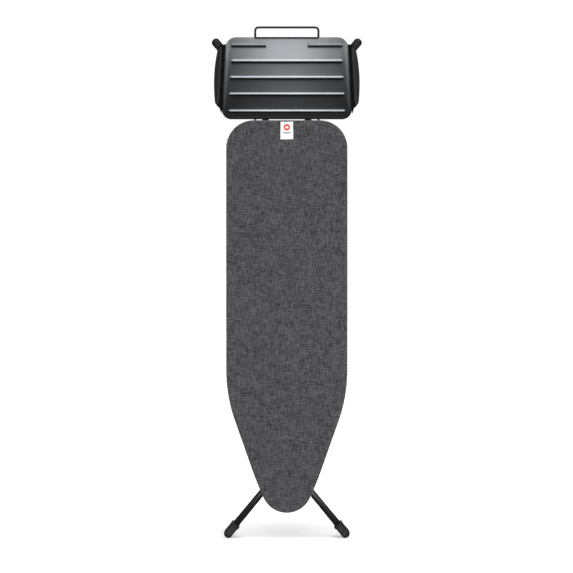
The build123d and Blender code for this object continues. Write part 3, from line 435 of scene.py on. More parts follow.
rows = spine_to(EDGE_RADIUS + 20 * MM, 0.0, 14)
rows += [(0, EDGE_RADIUS + a * MM, 0.0) for a in (14, 8, 3, 0)]
rows += front_corner(0, 0, EDGE_RADIUS, 8)
rows += [(0, 0, d) for d in np.linspace(EDGE_RADIUS, cover_depth - BACK_RADIUS, 8)[1:]]
rows += back_corner(0, cover_depth, BACK_RADIUS, 5)
rows += [(0, a, cover_depth) for a in np.linspace(BACK_RADIUS, HEM, 8)[1:]]
cover = board_layer("fitted_cover", rows, cover_ripple)
cloth = cover.modifiers.new("cloth_thickness", "SOLIDIFY")
cloth.thickness = 0.7 * MM
cloth.offset = -1

sheen = {"Sheen Weight": 0.25, "Sheen Roughness": 0.5}
material, place, feed = new_material("washed_black_linen", 0.88, 0.25, sheen)
warp_slub = noise(place, 360.0, 2.0, 0.6, (1, 0.2, 0.13))
weft_slub = noise(place, 360.0, 2.0, 0.6, (0.13, 0.2, 1))
blotch = noise(place, 60.0, 3.0, 0.6)
fleck = noise(place, 300.0, 2.0, 0.7)
slub = (warp_slub + weft_slub) * 0.36 + blotch * 0.10 + fleck * 0.18


def weave_of(place, pitch):
    """Plain weave: the sine along X times the sine along Z, one wave for each pitch."""
    across = place.node("ShaderNodeSeparateXYZ", inputs={0: place}, output=0)
    upward = place.node("ShaderNodeSeparateXYZ", inputs={0: place}, output=2)
    threads = 2 * math.pi / pitch
    return (across * threads).maths("SINE") * (upward * threads).maths("SINE")


weave = weave_of(place, 1.1 * MM)
thread_tone = spread_out(slub, 0.38, 0.62) + weave * 0.05
feed("Base Color", mix(thread_tone, (0.0, 0.0, 0.001), (0.066, 0.066, 0.070)))
feed("Normal", bump(weave * 0.5 + slub, 0.5, 0.0007))
cover.data.materials.append(material)
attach(cover, "board")
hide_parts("cover")


# ---------------------------------------------------------------------------------------------
# The sewn label at the heel. A tab of white woven tape with a stitched edge, printed with a
# generic picture of an iron on a red disc and two plain grey bars.
# ---------------------------------------------------------------------------------------------
label_low, label_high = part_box("care_label")
LABEL_LIFT = 0.35 * MM  # how far the tape stands in front of the cover
LABEL_ROWS, LABEL_COLUMNS = 57, 41


def label_sheet():
    """Rectangle of tape on a fine grid: its edge bends down by a high power of the distance from
    the middle, where the stitches hold it, and a product of slow sines lifts it in between."""
    u, v = np.meshgrid(np.linspace(-1, 1, LABEL_COLUMNS), np.linspace(-1, 1, LABEL_ROWS))
    half_x, half_z = (label_high.x - label_low.x) / 2, (label_high.z - label_low.z) / 2
    middle = (label_high.z + label_low.z) / 2
    edge = np.maximum(np.abs(u), np.abs(v)) ** 24
    wave = 0.08 * MM * np.sin(v * 5 + 1) * np.sin(u * 3)
    y = FRONT - LABEL_LIFT + 0.45 * MM * edge + wave
    points = np.stack([u * half_x, y, middle + v * half_z], -1)
    return put_mesh("woven_label", points, grid_faces(LABEL_ROWS, LABEL_COLUMNS))


label = label_sheet()
tape = label.modifiers.new("tape_thickness", "SOLIDIFY")
tape.thickness = 0.3 * MM
material, place, feed = new_material("white_woven_tape", 0.8, 0.3)
rib = weave_of(place, 2 * math.pi / 9000.0)
feed("Base Color", mix(rib * 0.5 + 0.5, (0.56, 0.56, 0.56), (0.66, 0.66, 0.65)))
feed("Normal", bump(rib, 0.3, 0.0002))
label.data.materials.append(material)
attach(label, "board")
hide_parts("care_label")


def printed_patch(name, ring, lift, dark, light):
    """Flat print just above the label: a fan of triangles from the centre of its outline."""
    flat = np.concatenate([ring.mean(0)[None], ring])
    y = np.full(len(flat), FRONT - LABEL_LIFT - lift)
    points = np.stack([flat[:, 0], y, flat[:, 1]], 1)
    turn = np.arange(len(ring))
    faces = np.stack([np.zeros_like(turn), turn + 1, (turn + 1) % len(ring) + 1], 1)
    patch = put_mesh(name, points, faces, smooth=False)
    material, place, feed = new_material(name + "_ink", 0.75, 0.3)
    feed("Base Color", mix(noise(place, 2500.0), dark, light))
    patch.data.materials.append(material)
    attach(patch, "board")


INK_LIFT, TOP_INK_LIFT = 0.25 * MM, 0.33 * MM
DISC_RADIUS = 10.5 * MM
disc_centre = np.array([0, label_high.z - 18 * MM])
turn = np.linspace(0, 2 * np.pi, 48, endpoint=False)
disc = disc_centre + DISC_RADIUS * np.stack([np.cos(turn), np.sin(turn)], 1)
printed_patch("label_disc", disc, INK_LIFT, (0.38, 0.035, 0.030), (0.46, 0.05, 0.04))
IRON = np.array([(-4.8, -2.72), (4.48, -2.72), (4.96, -0.96), (3.52, 1.12), (0.48, 2.08), (-4.0, 2.08)]) * MM
printed_patch("label_iron", disc_centre + IRON, TOP_INK_LIFT, (0.84, 0.80, 0.78), (0.9, 0.88, 0.86))
GREY_INK = ((0.11, 0.115, 0.13), (0.16, 0.165, 0.18))
BARS = ((13.0, 16.0, 1.7), (9.0, 20.6, 0.9))  # half-width, drop below the disc's centre, half-height
for number, (half, drop, thick) in enumerate(BARS, 1):
    bar = np.array([(-1, -1), (1, -1), (1, 1), (-1, 1)]) * (half, thick) - (0, drop)
    printed_patch(f"label_bar_{number}", disc_centre + bar * MM, INK_LIFT, *GREY_INK)


# ---------------------------------------------------------------------------------------------
# The board's frame. Expanded steel sheet is welded inside a folded rim, with channels across it;
# all of it is coated in pale grey epoxy before the pad goes on.
# ---------------------------------------------------------------------------------------------
mesh_low, mesh_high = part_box("mesh_top")
MESH_INSET = 2.9 * MM
MESH_BORDER = 12 * MM
DIAMOND = np.array([20.0, 9.0]) * MM  # half the long way and half the short way of one opening
STRAND = 1.5 * MM

mesh_front, mesh_back = mesh_low.y - FRONT, mesh_high.y - FRONT
outer_edge, inner_edge = MESH_INSET, MESH_INSET + MESH_BORDER
border_rows = [
    (0, outer_edge, mesh_front), (0, inner_edge, mesh_front), (0, inner_edge, mesh_back),
    (0, outer_edge, mesh_back), (0, outer_edge, mesh_front),
]


def board_half_width(z, inset):
    """Half-width of the outline at a height, less an inset; nothing beyond the ends."""
    count = len(OUTLINE) // 2 + 1
    right = OUTLINE[:count] - inset * OUTWARD[:count]
    order = np.argsort(right[:, 1], kind="stable")
    width = np.interp(z, right[order, 1], right[order, 0], left=0, right=0)
    inside = (z > right[0, 1]) & (z < right[-1, 1])
    return np.where(inside, width, 0)


def expanded_sheet():
    """Strands of expanded metal: flat bars between the staggered corners of a diamond lattice."""
    columns = math.ceil(HALF_WIDTH / DIAMOND[0]) + 1
    ranks = math.ceil((HEEL_Z - NOSE_Z) / 2 / DIAMOND[1]) + 5
    c, r = np.meshgrid(np.arange(-columns, columns + 1), np.arange(-ranks, ranks + 1))
    keep = (c + r) % 2 == 0
    x = c[keep] * DIAMOND[0]
    z = (NOSE_Z + HEEL_Z) / 2 + r[keep] * DIAMOND[1]
    start = np.repeat(np.stack([x, z], 1), 2, 0)
    lean = np.tile(np.array([[1, 1], [-1, 1]]), (len(x), 1))
    end = start + lean * DIAMOND
    limit = MESH_INSET + MESH_BORDER * 0.35  # strands end under the border
    inside = np.abs(start[:, 0]) < board_half_width(start[:, 1], limit)
    inside &= np.abs(end[:, 0]) < board_half_width(end[:, 1], limit)
    start, end = start[inside], end[inside]
    along = (end - start) / np.linalg.norm(end - start, axis=1)[:, None]
    side = np.stack([-along[:, 1], along[:, 0]], 1) * STRAND / 2
    flat = np.stack([start - side, start + side, end + side, end - side], 1)
    y = FRONT + np.array([mesh_front, mesh_back])[None, :, None] + np.zeros((len(flat), 2, 4))
    x, z = [np.broadcast_to(flat[:, None, :, k], y.shape) for k in (0, 1)]
    solid = np.stack([x, y, z], -1)
    box = np.array([(0, 1, 2, 3), (4, 7, 6, 5), (0, 4, 5, 1), (1, 5, 6, 2), (2, 6, 7, 3), (3, 7, 4, 0)])
    faces = (np.arange(len(start))[:, None, None] * 8 + box[None]).reshape(-1, 4)
    return solid.reshape(-1, 3), faces


points, faces = expanded_sheet()
lattice = put_mesh("expanded_mesh", points, faces, smooth=False)
border = board_layer("mesh_border", border_rows)
for piece in (lattice, border):
    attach(piece, "board")
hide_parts("mesh_top")


def epoxy(name, dark, light, roughness):
    """Epoxy powder coat: a faint cloud of tone, a fine orange-peel bump and uneven gloss."""
    material, place, feed = new_material(name, roughness)
    cloud = noise(place, 18.0, 3.0)
    peel = noise(place, 900.0, 2.0)
    feed("Base Color", mix(spread_out(cloud, 0.3, 0.7), dark, light))
    feed("Roughness", cloud * 0.14 + (roughness - 0.07))
    feed("Normal", bump(peel, 0.25, 0.0002))
    return material


grey_epoxy = epoxy("grey_epoxy", (0.40, 0.41, 0.42), (0.52, 0.53, 0.54), 0.42)
lattice.data.materials.append(grey_epoxy)
border.data.materials.append(grey_epoxy)


def dress(names, material):
    """Give CAD pieces a finish."""
    for name in names:
        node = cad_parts[name]
        node.data.materials.clear()
        node.data.materials.append(material)


dress(["board_rim", "cross_member_lower", "cross_member_upper", "cross_member_pivot"], grey_epoxy)


# ---------------------------------------------------------------------------------------------
# Plated hardware. Rails, rack, brackets, axles, bolts and pins are pressed or turned steel with
# bright zinc plate, which clouds unevenly and keeps the faint lines of the rolled sheet.
# ---------------------------------------------------------------------------------------------
zinc, place, feed = new_material("bright_zinc", 0.34, more={"Metallic": 0.9})
spangle = place.node("ShaderNodeTexVoronoi", inputs={"Vector": place, "Scale": 240.0})
rolled = noise(place, 500.0, 2.0, 0.5, (1, 1, 0.04))
feed("Base Color", mix(spread_out(spangle, 0.0, 0.9), (0.46, 0.47, 0.48), (0.66, 0.66, 0.64)))
feed("Roughness", rolled * 0.2 + 0.24)
feed("Normal", bump(rolled, 0.12, 0.0002))
dress(
    [
        "slide_rail_left", "slide_rail_right", "height_rack", "pivot_bracket", "bracket_rivets",
        "clamp_screws", "guard_pins", "inner_leg_axle", "cross_bolts", "cross_nuts", "slide_axle",
        "carriage_bar", "housing_screws", "lever_pin", "lever_spring", "lock_bolt", "bolt_pin",
        "release_lever",
    ],
    zinc,
)


# ---------------------------------------------------------------------------------------------
# Mouldings. The shoes, bushes, spacers, clamps and end plugs are injection moulded in black nylon
# and pressed or screwed in place; the release lever's grip is a softer moulding pushed over it.
# ---------------------------------------------------------------------------------------------
def moulding(name, dark, light, roughness, grain=1500.0, depth=0.00025, specular=0.11):
    """Moulded plastic with a spark-eroded grain and slightly uneven gloss."""
    material, place, feed = new_material(name, roughness, specular)
    cloud = noise(place, 30.0, 3.0)
    fine = noise(place, grain, 3.0, 0.7)
    feed("Base Color", mix(cloud * 0.6 + fine * 0.4, dark, light))
    feed("Roughness", fine * 0.2 + (roughness - 0.1))
    feed("Normal", bump(fine, 0.45, depth))
    return material


nylon = moulding("black_nylon", (0.018, 0.018, 0.019), (0.045, 0.045, 0.047), 0.5)
dress(
    [
        "rail_end_stops", "pivot_bushes", "axle_spacers", "cross_washers", "rod_clamps",
        "slide_shoe_left", "slide_shoe_right", "lock_housing",
    ],
    nylon,
)
dress(["lever_grip"], moulding("soft_grip", (0.020, 0.020, 0.022), (0.05, 0.05, 0.052), 0.62))


# ---------------------------------------------------------------------------------------------
# The iron tray. One sheet of steel is pressed into a shallow pan with a rolled edge and rows of
# round ribs, then sprayed in one coat of dark metallic enamel. Painted light is laid into the coat's
# colour: a painted sheen graded over each panel, painted highlights on the rib crests and along the
# rolled edge, and painted shade in strips under the ribs, so it stays put when the light or the view changes.
# ---------------------------------------------------------------------------------------------
tray_low, tray_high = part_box("tray_plate")
TRAY_HALF_LOW, TRAY_HALF_HIGH = 0.208, 0.193
TRAY_CORNER = 32 * MM
TRAY_FACE = FRONT + 8 * MM
ROLL = 5.0 * MM
SHEET = 1.2 * MM
RIB_RADIUS = 5.6 * MM
RIB_HEIGHT = 4.4 * MM
RIB_ROWS = ((1.511, 0.175), (1.4585, 0.179), (1.406, 0.182), (1.352, 0.184))  # height, half-length
SHORT_RIB_Z, SHORT_RIB = 1.562, (0.066, 0.175)  # height, inner and outer end
RIB_END_SHARES = (SHORT_RIB[0] / 0.194, 0.892)  # where ribs begin and end, of the half-width


def tray_side(z):
    """Half-width of the tray at a height, before its corners are rounded."""
    share = (z - tray_low.z) / (tray_high.z - tray_low.z)
    return TRAY_HALF_LOW + (TRAY_HALF_HIGH - TRAY_HALF_LOW) * share


def capsule(x, z, left, right, middle):
    """Distance from a line along X between two ends."""
    return np.hypot(np.maximum(np.maximum(left - x, x - right), 0), z - middle)


def tray_relief(x, z):
    """Height of the pressed face: round ribs on flat panels.

    A rib is its height times (1 - (distance / radius)^2) to the power 0.45, where the distance
    is measured from the line along its middle; the highest rib wins where two would meet.
    """
    height = np.zeros_like(x)
    ribs = [(-half + RIB_RADIUS, half - RIB_RADIUS, row) for row, half in RIB_ROWS]
    near, far = SHORT_RIB[0] + RIB_RADIUS, SHORT_RIB[1] - RIB_RADIUS
    ribs += [(near, far, SHORT_RIB_Z), (-far, -near, SHORT_RIB_Z)]
    for left, right, middle in ribs:
        d = capsule(x, z, left, right, middle) / RIB_RADIUS
        height = np.maximum(height, RIB_HEIGHT * np.clip(1 - d**2, 0, 1) ** 0.45)
    return height


def fine_steps(ends, marks, coarse, fine, reach):
    """Sorted stations from end to end: coarse everywhere, fine within reach of each mark."""
    stations = [np.arange(ends[0], ends[1], coarse), np.array([ends[1]])]
    stations += [np.arange(m - reach, m + reach, fine) for m in marks]
    merged = np.unique(np.round(np.concatenate(stations), 6))
    merged = merged[(merged >= ends[0]) & (merged <= ends[1])]
    keep = np.concatenate([[True], np.diff(merged) > fine * 0.45])
    keep[-1] = True
    return merged[keep]


def tray_surface():
    """Face of the tray as a grid of level rows, then the rolled edge and rim round its outline.

    Rows end on the outline inset by the roll; there the surface turns down a quarter circle along
    the outline's normal and runs straight back as the rim.
    """
    inner = TRAY_CORNER - ROLL
    low, high = tray_low.z + ROLL, tray_high.z - ROLL
    turn = np.linspace(0, math.pi / 2, 12)
    corner = inner * (1 - np.cos(turn))
    near_rib = (0.7 * MM, 7.5 * MM)
    rows = fine_steps((low + inner, high - inner), [z for z, half in RIB_ROWS], 5 * MM, *near_rib)
    top = fine_steps((high - inner, high), [SHORT_RIB_Z], 4 * MM, *near_rib)
    bottom = np.unique(np.concatenate([low + corner, np.arange(low + 6 * MM, low + inner, 2 * MM)]))
    top = np.unique(np.concatenate([high - corner, top]))
    rows = np.unique(np.round(np.concatenate([bottom, rows, top]), 6))
    rows = rows[np.concatenate([[True], np.diff(rows) > 0.12 * MM])]
    into = np.clip(np.maximum(low + inner - rows, rows - (high - inner)), 0, inner)
    half = tray_side(rows) - ROLL - (inner - np.sqrt(np.maximum(inner**2 - into**2, 0)))
    right = fine_steps((0, 1), RIB_END_SHARES, 0.035, 0.0042, 0.035)
    share = np.concatenate([-right[:0:-1], right])
    x = half[:, None] * share[None]
    z = np.broadcast_to(rows[:, None], x.shape)
    y = TRAY_FACE - tray_relief(x, z)
    face = np.stack([x, y, z], -1)
    n, m = x.shape
    index = np.arange(n * m).reshape(n, m)
    loop = np.concatenate([index[0, :], index[1:, -1], index[-1, -2::-1], index[-2:0:-1, 0]])
    rim = face.reshape(-1, 3)[loop][:, [0, 2]]
    ahead, behind = np.roll(rim, -1, 0), np.roll(rim, 1, 0)
    tangent = ahead - behind
    tangent /= np.linalg.norm(tangent, axis=1)[:, None]
    normal = np.stack([tangent[:, 1], -tangent[:, 0]], 1)
    rings = [(ROLL * math.sin(a), ROLL * (1 - math.cos(a))) for a in np.linspace(0, math.pi / 2, 9)[1:]]
    rings += [(ROLL, d) for d in np.linspace(ROLL, tray_high.y - TRAY_FACE, 5)[1:]]
    out, depth = np.array(rings).T
    skirt = rim[None] + out[:, None, None] * normal[None]
    skirt_y = np.broadcast_to(TRAY_FACE + depth[:, None], skirt.shape[:2])
    skirt_points = np.stack([skirt[..., 0], skirt_y, skirt[..., 1]], -1)
    ring_index = np.concatenate([loop[None], n * m + np.arange(len(rings) * len(loop)).reshape(len(rings), -1)])
    a, b = ring_index[:-1], ring_index[1:]
    skirt_faces = np.stack([a, np.roll(a, -1, 1), np.roll(b, -1, 1), b], -1).reshape(-1, 4)
    points = np.concatenate([face.reshape(-1, 3), skirt_points.reshape(-1, 3)])
    return points, np.concatenate([grid_faces(n, m), skirt_faces])


tray = close_seams(put_mesh("pressed_tray", *tray_surface()))
thick = tray.modifiers.new("sheet_thickness", "SOLIDIFY")
thick.thickness = SHEET
thick.offset = -1


def enamel_tone_with_painted_light(x, z):
    """Lightness of the enamel from 0 to 1, with the painted sheen, painted highlights and painted shade
    that it shows from in front laid in.

    Each panel runs straight from one tone at its lower edge to another at its upper edge, a painted
    sheen that fades with the distance from the middle, and gains a painted highlight as a bell curve
    along the bevel; each rib darkens the strip under it with painted shade and lightens its crest with
    a painted highlight, by bell curves across it.
    """
    edges = np.array([tray_low.z, *[row for row, half in RIB_ROWS[::-1]], tray_high.z])
    # Painted sheen: the tone of each panel at its lower and at its upper edge.
    low_tone = np.array([0.05, 0.165, 0.26, 0.355, 0.51])
    high_tone = np.array([0.13, 0.135, 0.225, 0.305, 0.52])
    panel = np.clip(np.searchsorted(edges, z) - 1, 0, 4)
    share = np.clip((z - edges[panel]) / (edges[panel + 1] - edges[panel]), 0, 1)
    tone = low_tone[panel] * (1 - share) + high_tone[panel] * share
    middles = (edges[:-1] + edges[1:]) / 2
    even = np.interp(z, middles, (low_tone + high_tone) / 2)
    beside = np.clip((np.abs(x) - 0.172) / 0.012, 0, 1)
    tone = tone * (1 - beside) + even * beside
    # Painted highlight along the rolled edge; the painted sheen fades away from the middle.
    bevel = np.exp(-(((tray_side(z) - np.abs(x) - 7.5 * MM) / (3.5 * MM)) ** 2))
    fade = np.clip((np.abs(x - 0.004) - 0.03) / 0.15, 0, 1) ** 1.3
    tone = tone * (1 - 0.38 * fade) + 0.10 * bevel * np.clip((z - tray_low.z) / 0.05, 0, 1)
    ribs = [(row, -4 * MM, half, 0.73) for row, half in RIB_ROWS] + [(SHORT_RIB_Z, *SHORT_RIB, 0.50)]
    # Painted shade in a strip under each rib and a painted highlight on its crest.
    for row, near, far, light in ribs:
        length = np.clip((far + 2 * MM - np.abs(x)) / (4 * MM), 0, 1)
        length *= np.clip((np.abs(x) - near + 2 * MM) / (4 * MM), 0, 1)
        under = np.exp(-(((z - row + 5.0 * MM) / (3.4 * MM)) ** 2)) * length
        crest = np.exp(-(((z - row - 2.0 * MM) / (3.0 * MM)) ** 2)) * length
        tone = tone * (1 - 0.97 * under) * (1 - crest) + crest * light * (1 - 0.15 * fade)
    return np.clip(tone, 0, 1)


co = np.empty(len(tray.data.vertices) * 3)
tray.data.vertices.foreach_get("co", co)
tone = enamel_tone_with_painted_light(co[0::3], co[2::3])
# The coat attribute holds the enamel's tone with the painted sheen, painted highlights and painted shade laid
# in.
attribute = tray.data.attributes.new("coat", "FLOAT", "POINT")
attribute.data.foreach_set("value", tone.astype(np.float32))
material, place, feed = new_material("metallic_enamel", 0.45, 0.05)
coat = place.node("ShaderNodeAttribute", {"attribute_name": "coat"}, output=2)
flake = noise(place, 2600.0, 2.0, 0.6)
cloud = noise(place, 14.0, 3.0)
lightness = (0.0, 0.1, 0.2, 0.3, 0.4, 0.55, 0.7, 0.85)
COOL_GREY = (0.94, 0.97, 1.02)
stops = [(t, tuple(part * t**2.2 for part in COOL_GREY)) for t in lightness]
ramp = coat.node("ShaderNodeValToRGB", {"stops": stops}, {"Fac": coat})
feed("Base Color", mix(flake * 0.008, ramp, (0.5, 0.5, 0.52)))
feed("Roughness", cloud * 0.12 + 0.30)
feed("Normal", bump(flake, 0.08, 0.0001))
tray.data.materials.append(material)
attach(tray, "board")
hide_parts("tray_plate")


# ---------------------------------------------------------------------------------------------
# Tubes and wires. The legs are 22 mm steel tube bent once at the knee; the tray's rods and loop
# are 7 mm wire with the end stop welded on. All are powder coated in satin black.
# ---------------------------------------------------------------------------------------------
BEND_FACET = 4 * MM  # length of one facet along a bend
BORE_DEPTH = 30 * MM


def rounded_path(corners, radius):
    """Points along straight runs joined by arcs: at a corner the arc starts radius * tan(half the
    turn) before it, and each arc point is centre + radius times a turning unit vector."""
    corners = np.asarray(corners, float)
    route = [corners[0][None]]
    for before, corner, after in zip(corners, corners[1:], corners[2:]):
        u = (before - corner) / np.linalg.norm(before - corner)
        v = (after - corner) / np.linalg.norm(after - corner)
        half = math.acos(np.clip(u @ v, -1, 1)) / 2
        centre = corner + (u + v) / np.linalg.norm(u + v) * radius / math.sin(half)
        start = corner + u * radius / math.tan(half) - centre
        sweep = math.pi - 2 * half
        turn = np.linspace(0, sweep, max(6, int(radius * sweep / BEND_FACET)))[:, None]
        route.append(centre + start * np.cos(turn) - u * radius * np.sin(turn))
    route.append(corners[-1][None])
    return np.concatenate(route)


def pipe(name, corners, bend, radius, sides=28, bore=0.0):
    """Tube swept along a path: each ring is the point plus radius times (cos, sin) of the turn in
    the plane square to the run, counted from the depth direction. Its ends are closed, or open onto
    a bore that runs in for a short way."""
    path = rounded_path(corners, bend)
    tangent = np.gradient(path, axis=0)
    tangent /= np.linalg.norm(tangent, axis=1)[:, None]
    side = np.array([0.0, 1.0, 0.0]) - tangent * tangent[:, 1:2]
    side /= np.linalg.norm(side, axis=1)[:, None]
    other = np.cross(tangent, side)
    angle = np.linspace(0, 2 * np.pi, sides, endpoint=False)[None, :, None]
    circle = side[:, None] * np.cos(angle) + other[:, None] * np.sin(angle)
    mouths = [path[0] + bore * circle[0], path[-1] + bore * circle[-1]]
    rings = [mouths[0], *(path[:, None] + radius * circle), mouths[1]]
    if bore:
        rings = [mouths[0] + tangent[0] * BORE_DEPTH, *rings, mouths[1] - tangent[-1] * BORE_DEPTH]
    faces = grid_faces(len(rings), sides, wrap_columns=True)
    return close_seams(put_mesh(name, np.stack(rings), faces), merge=1e-7)


def powder(name, dark, light, roughness, specular):
    """Satin black powder coat: fine grain, a slow cloud of gloss and paler scuffs."""
    material, place, feed = new_material(name, roughness, specular)
    cloud = noise(place, 22.0, 3.0)
    grain = noise(place, 1400.0, 2.0, 0.6)
    scuff = spread_out(noise(place, 55.0, 4.0, 0.7, (1, 1, 0.3)), 0.62, 0.8)
    feed("Base Color", mix(scuff * 0.5 + grain * 0.3, dark, light))
    feed("Roughness", cloud * 0.18 + (roughness - 0.09))
    feed("Normal", bump(grain, 0.25, 0.00015))
    return material


black_coat = powder("satin_black_coat", (0.006, 0.006, 0.007), (0.018, 0.018, 0.019), 0.34, 0.34)
wire_coat = powder("black_wire_coat", (0.006, 0.006, 0.007), (0.016, 0.016, 0.017), 0.46, 0.12)

SIDES = ((-1, "left"), (1, "right"))
TUBE_RADIUS = 11 * MM
BORE = 9.8 * MM
TUBE_Y = FRONT + 48 * MM
KNEE_BEND = 60 * MM
INNER_X, INNER_KNEE_Z = 0.045, 0.181
FOOT_X, FOOT_Y, FOOT_Z = 0.186, FRONT + 27 * MM, 0.0128
OUTER_X, OUTER_SPLAY = 0.068, math.radians(40.5)
TOP_FOOT_X, TOP_FOOT_Z = 0.2265, 1.5756
OUTER_KNEE_Z = TOP_FOOT_Z - (TOP_FOOT_X - OUTER_X) / math.tan(OUTER_SPLAY)
LEGS = {  # straight run's X, the knee's height, and where the splayed end stops
    "inner": (INNER_X, INNER_KNEE_Z, (FOOT_X, FOOT_Y, FOOT_Z)),
    "outer": (OUTER_X, OUTER_KNEE_Z, (TOP_FOOT_X, TUBE_Y, TOP_FOOT_Z)),
}


def knee_and_foot(leg, side):
    """The corner where one tube of a leg turns outwards, and the point where it ends."""
    x, knee_z, foot = LEGS[leg]
    return np.array([side * x, TUBE_Y, knee_z]), np.array(foot) * (side, 1, 1)


for side, word in SIDES:
    for leg in LEGS:
        node = f"{leg}_leg_tube_{word}"
        low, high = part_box(node)
        knee, foot = knee_and_foot(leg, side)
        straight_end = (knee[0], TUBE_Y, high.z if leg == "inner" else low.z)
        tube = pipe(f"{leg}_tube_{word}", [straight_end, knee, foot], KNEE_BEND, TUBE_RADIUS, bore=BORE)
        tube.data.materials.append(black_coat)
        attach(tube, f"{leg}_leg")
        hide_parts(node)

dress(
    [
        "inner_leg_brace_upper", "inner_leg_brace_lower", "outer_leg_brace", "inner_leg_ears",
        "outer_leg_ears", "tray_bars",
    ],
    black_coat,
)


def lay_wire(name, corners, bend, radius, node):
    """Bend one coated wire and fix it to the board."""
    wire = pipe(name, corners, bend, radius, sides=20)
    wire.data.materials.append(wire_coat)
    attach(wire, "board")
    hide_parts(node)


ROD_RADIUS = 3.5 * MM
ROD_X = 0.1005
rod_low, rod_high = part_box("tray_rods")
rod_y = (rod_low.y + rod_high.y) / 2
loop_top = rod_high.z - ROD_RADIUS
corners = [
    (-ROD_X, rod_y, rod_low.z), (-ROD_X, rod_y, loop_top),
    (ROD_X, rod_y, loop_top), (ROD_X, rod_y, rod_low.z),
]
lay_wire("tray_wire", corners, 10 * MM, ROD_RADIUS, "tray_rods")

stop_low, stop_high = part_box("end_stop_wire")
STOP_RADIUS = 3.0 * MM
reach = stop_high.x - STOP_RADIUS
stop_y = stop_low.y + STOP_RADIUS
stop_z = stop_low.z + STOP_RADIUS
weld_y = rod_y - ROD_RADIUS - 0.4 * MM
WELD_Z, CRANK_Z = 1.604, 1.599  # where the end stop meets the rods and where it cranks forward
corners = [
    (-reach, weld_y, WELD_Z), (-reach, stop_y, CRANK_Z), (-reach, stop_y, stop_z),
    (reach, stop_y, stop_z), (reach, stop_y, CRANK_Z), (reach, weld_y, WELD_Z),
]
lay_wire("tray_end_stop", corners, 4.5 * MM, STOP_RADIUS, "end_stop_wire")


# ---------------------------------------------------------------------------------------------
# Feet. Soft plastic caps are pushed over the tube ends: a collar, a body with fine grip grooves
# and a round toe. The two that carry the folded board are long in depth and flat underneath.
# ---------------------------------------------------------------------------------------------
CAP_LENGTH, CAP_SOCKET = 50 * MM, 38 * MM
CAP_RADIUS = 13.5 * MM
MOUTH_RADIUS = 11.2 * MM
COLLAR = np.array([(0, 0.9), (0.3, 1.3), (1.0, 1.5), (6.0, 1.5), (7.2, 0.0)]) * MM  # along, out
COLLAR_STEP = 1.5 * MM
GROOVE_PITCH, GROOVE_DEPTH = 4 * MM, 0.35 * MM
GROOVED = (11 * MM, 33 * MM)
TOE_DROP = 11.5 * MM
CAP_SIDES = 96


def cap_profile():
    """Distances along a cap and how far its skin stands out from the body there: the collar's
    corners joined by straight lines, then the upper half of a sine for the grooves, then a toe that
    drops by 1 - cos as it runs out by sin."""
    body = np.concatenate([np.array([0, 0.3, 1.0, 6.0, 6.8, 7.2]), np.linspace(7.6, 38, 84)]) * MM
    grow = np.interp(body, *COLLAR.T)
    groove = np.clip(np.sin(body * 2 * np.pi / GROOVE_PITCH), 0, 1)
    groove = np.where((body > GROOVED[0]) & (body < GROOVED[1]), groove, 0)
    toe = np.linspace(0, 1, 14)[1:] * math.pi / 2
    distance = np.concatenate([body, CAP_SOCKET + (CAP_LENGTH - CAP_SOCKET) * np.sin(toe)])
    return distance, np.concatenate([grow - GROOVE_DEPTH * groove, -TOE_DROP * (1 - np.cos(toe))])


cap_plastic = moulding(
    "soft_foot_plastic", (0.002, 0.002, 0.002), (0.015, 0.015, 0.016), 0.5, grain=420.0, depth=0.0005
)
ACROSS = np.array([0.0, 1.0, 0.0])


def sweep_cap(name, start, run, flat_half, node, body):
    """Cap along its tube: each ring is a circle of the profile's radius, pulled apart across.

    The circle's two halves move apart by the flat half-width, with their corners squared by a
    power of the cosine; the first ring is the socket's mouth, and the sole is cut level.
    """
    side = np.cross(run, ACROSS)
    s, grow = cap_profile()
    r = CAP_RADIUS + grow
    angle = np.linspace(0, 2 * np.pi, CAP_SIDES, endpoint=False)
    cos, sin = np.cos(angle), np.sin(angle)
    square = 0.42 if flat_half > 0 else 1.0
    apart = np.sign(cos) * np.minimum(1, np.abs(cos) * 6)
    along = r[:, None] * np.sign(cos) * np.abs(cos) ** square + flat_half * apart
    over = r[:, None] * np.sign(sin) * np.abs(sin) ** square
    skin = start + s[:, None, None] * run + along[..., None] * ACROSS + over[..., None] * side
    mouth = start + MOUTH_RADIUS * (cos[:, None] * ACROSS + sin[:, None] * side)
    tip = np.broadcast_to(start + CAP_LENGTH * run, mouth.shape)
    points = np.concatenate([mouth[None], skin, tip[None]])
    points[..., 2] = np.maximum(points[..., 2], 0)
    cap = close_seams(put_mesh(name, points, grid_faces(len(points), CAP_SIDES, wrap_columns=True)))
    cap.data.materials.append(cap_plastic)
    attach(cap, body)
    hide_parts(node)


shoe_low, shoe_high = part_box("inner_foot_right")
shoe_flat = (shoe_high.y - shoe_low.y) / 2 - COLLAR_STEP - CAP_RADIUS
for side, word in SIDES:
    knee, foot = knee_and_foot("inner", side)
    start = foot - (foot - knee) / np.linalg.norm(foot - knee) * CAP_SOCKET
    start[1] = (shoe_low.y + shoe_high.y) / 2
    run = (foot - knee) * (1, 0, 1)
    run /= np.linalg.norm(run)
    sweep_cap(f"standing_foot_{word}", start, run, shoe_flat, f"inner_foot_{word}", "inner_leg")
    knee, foot = knee_and_foot("outer", side)
    run = (foot - knee) / np.linalg.norm(foot - knee)
    sweep_cap(f"upper_foot_{word}", foot - run * CAP_SOCKET, run, 0.0, f"outer_foot_{word}", "outer_leg")


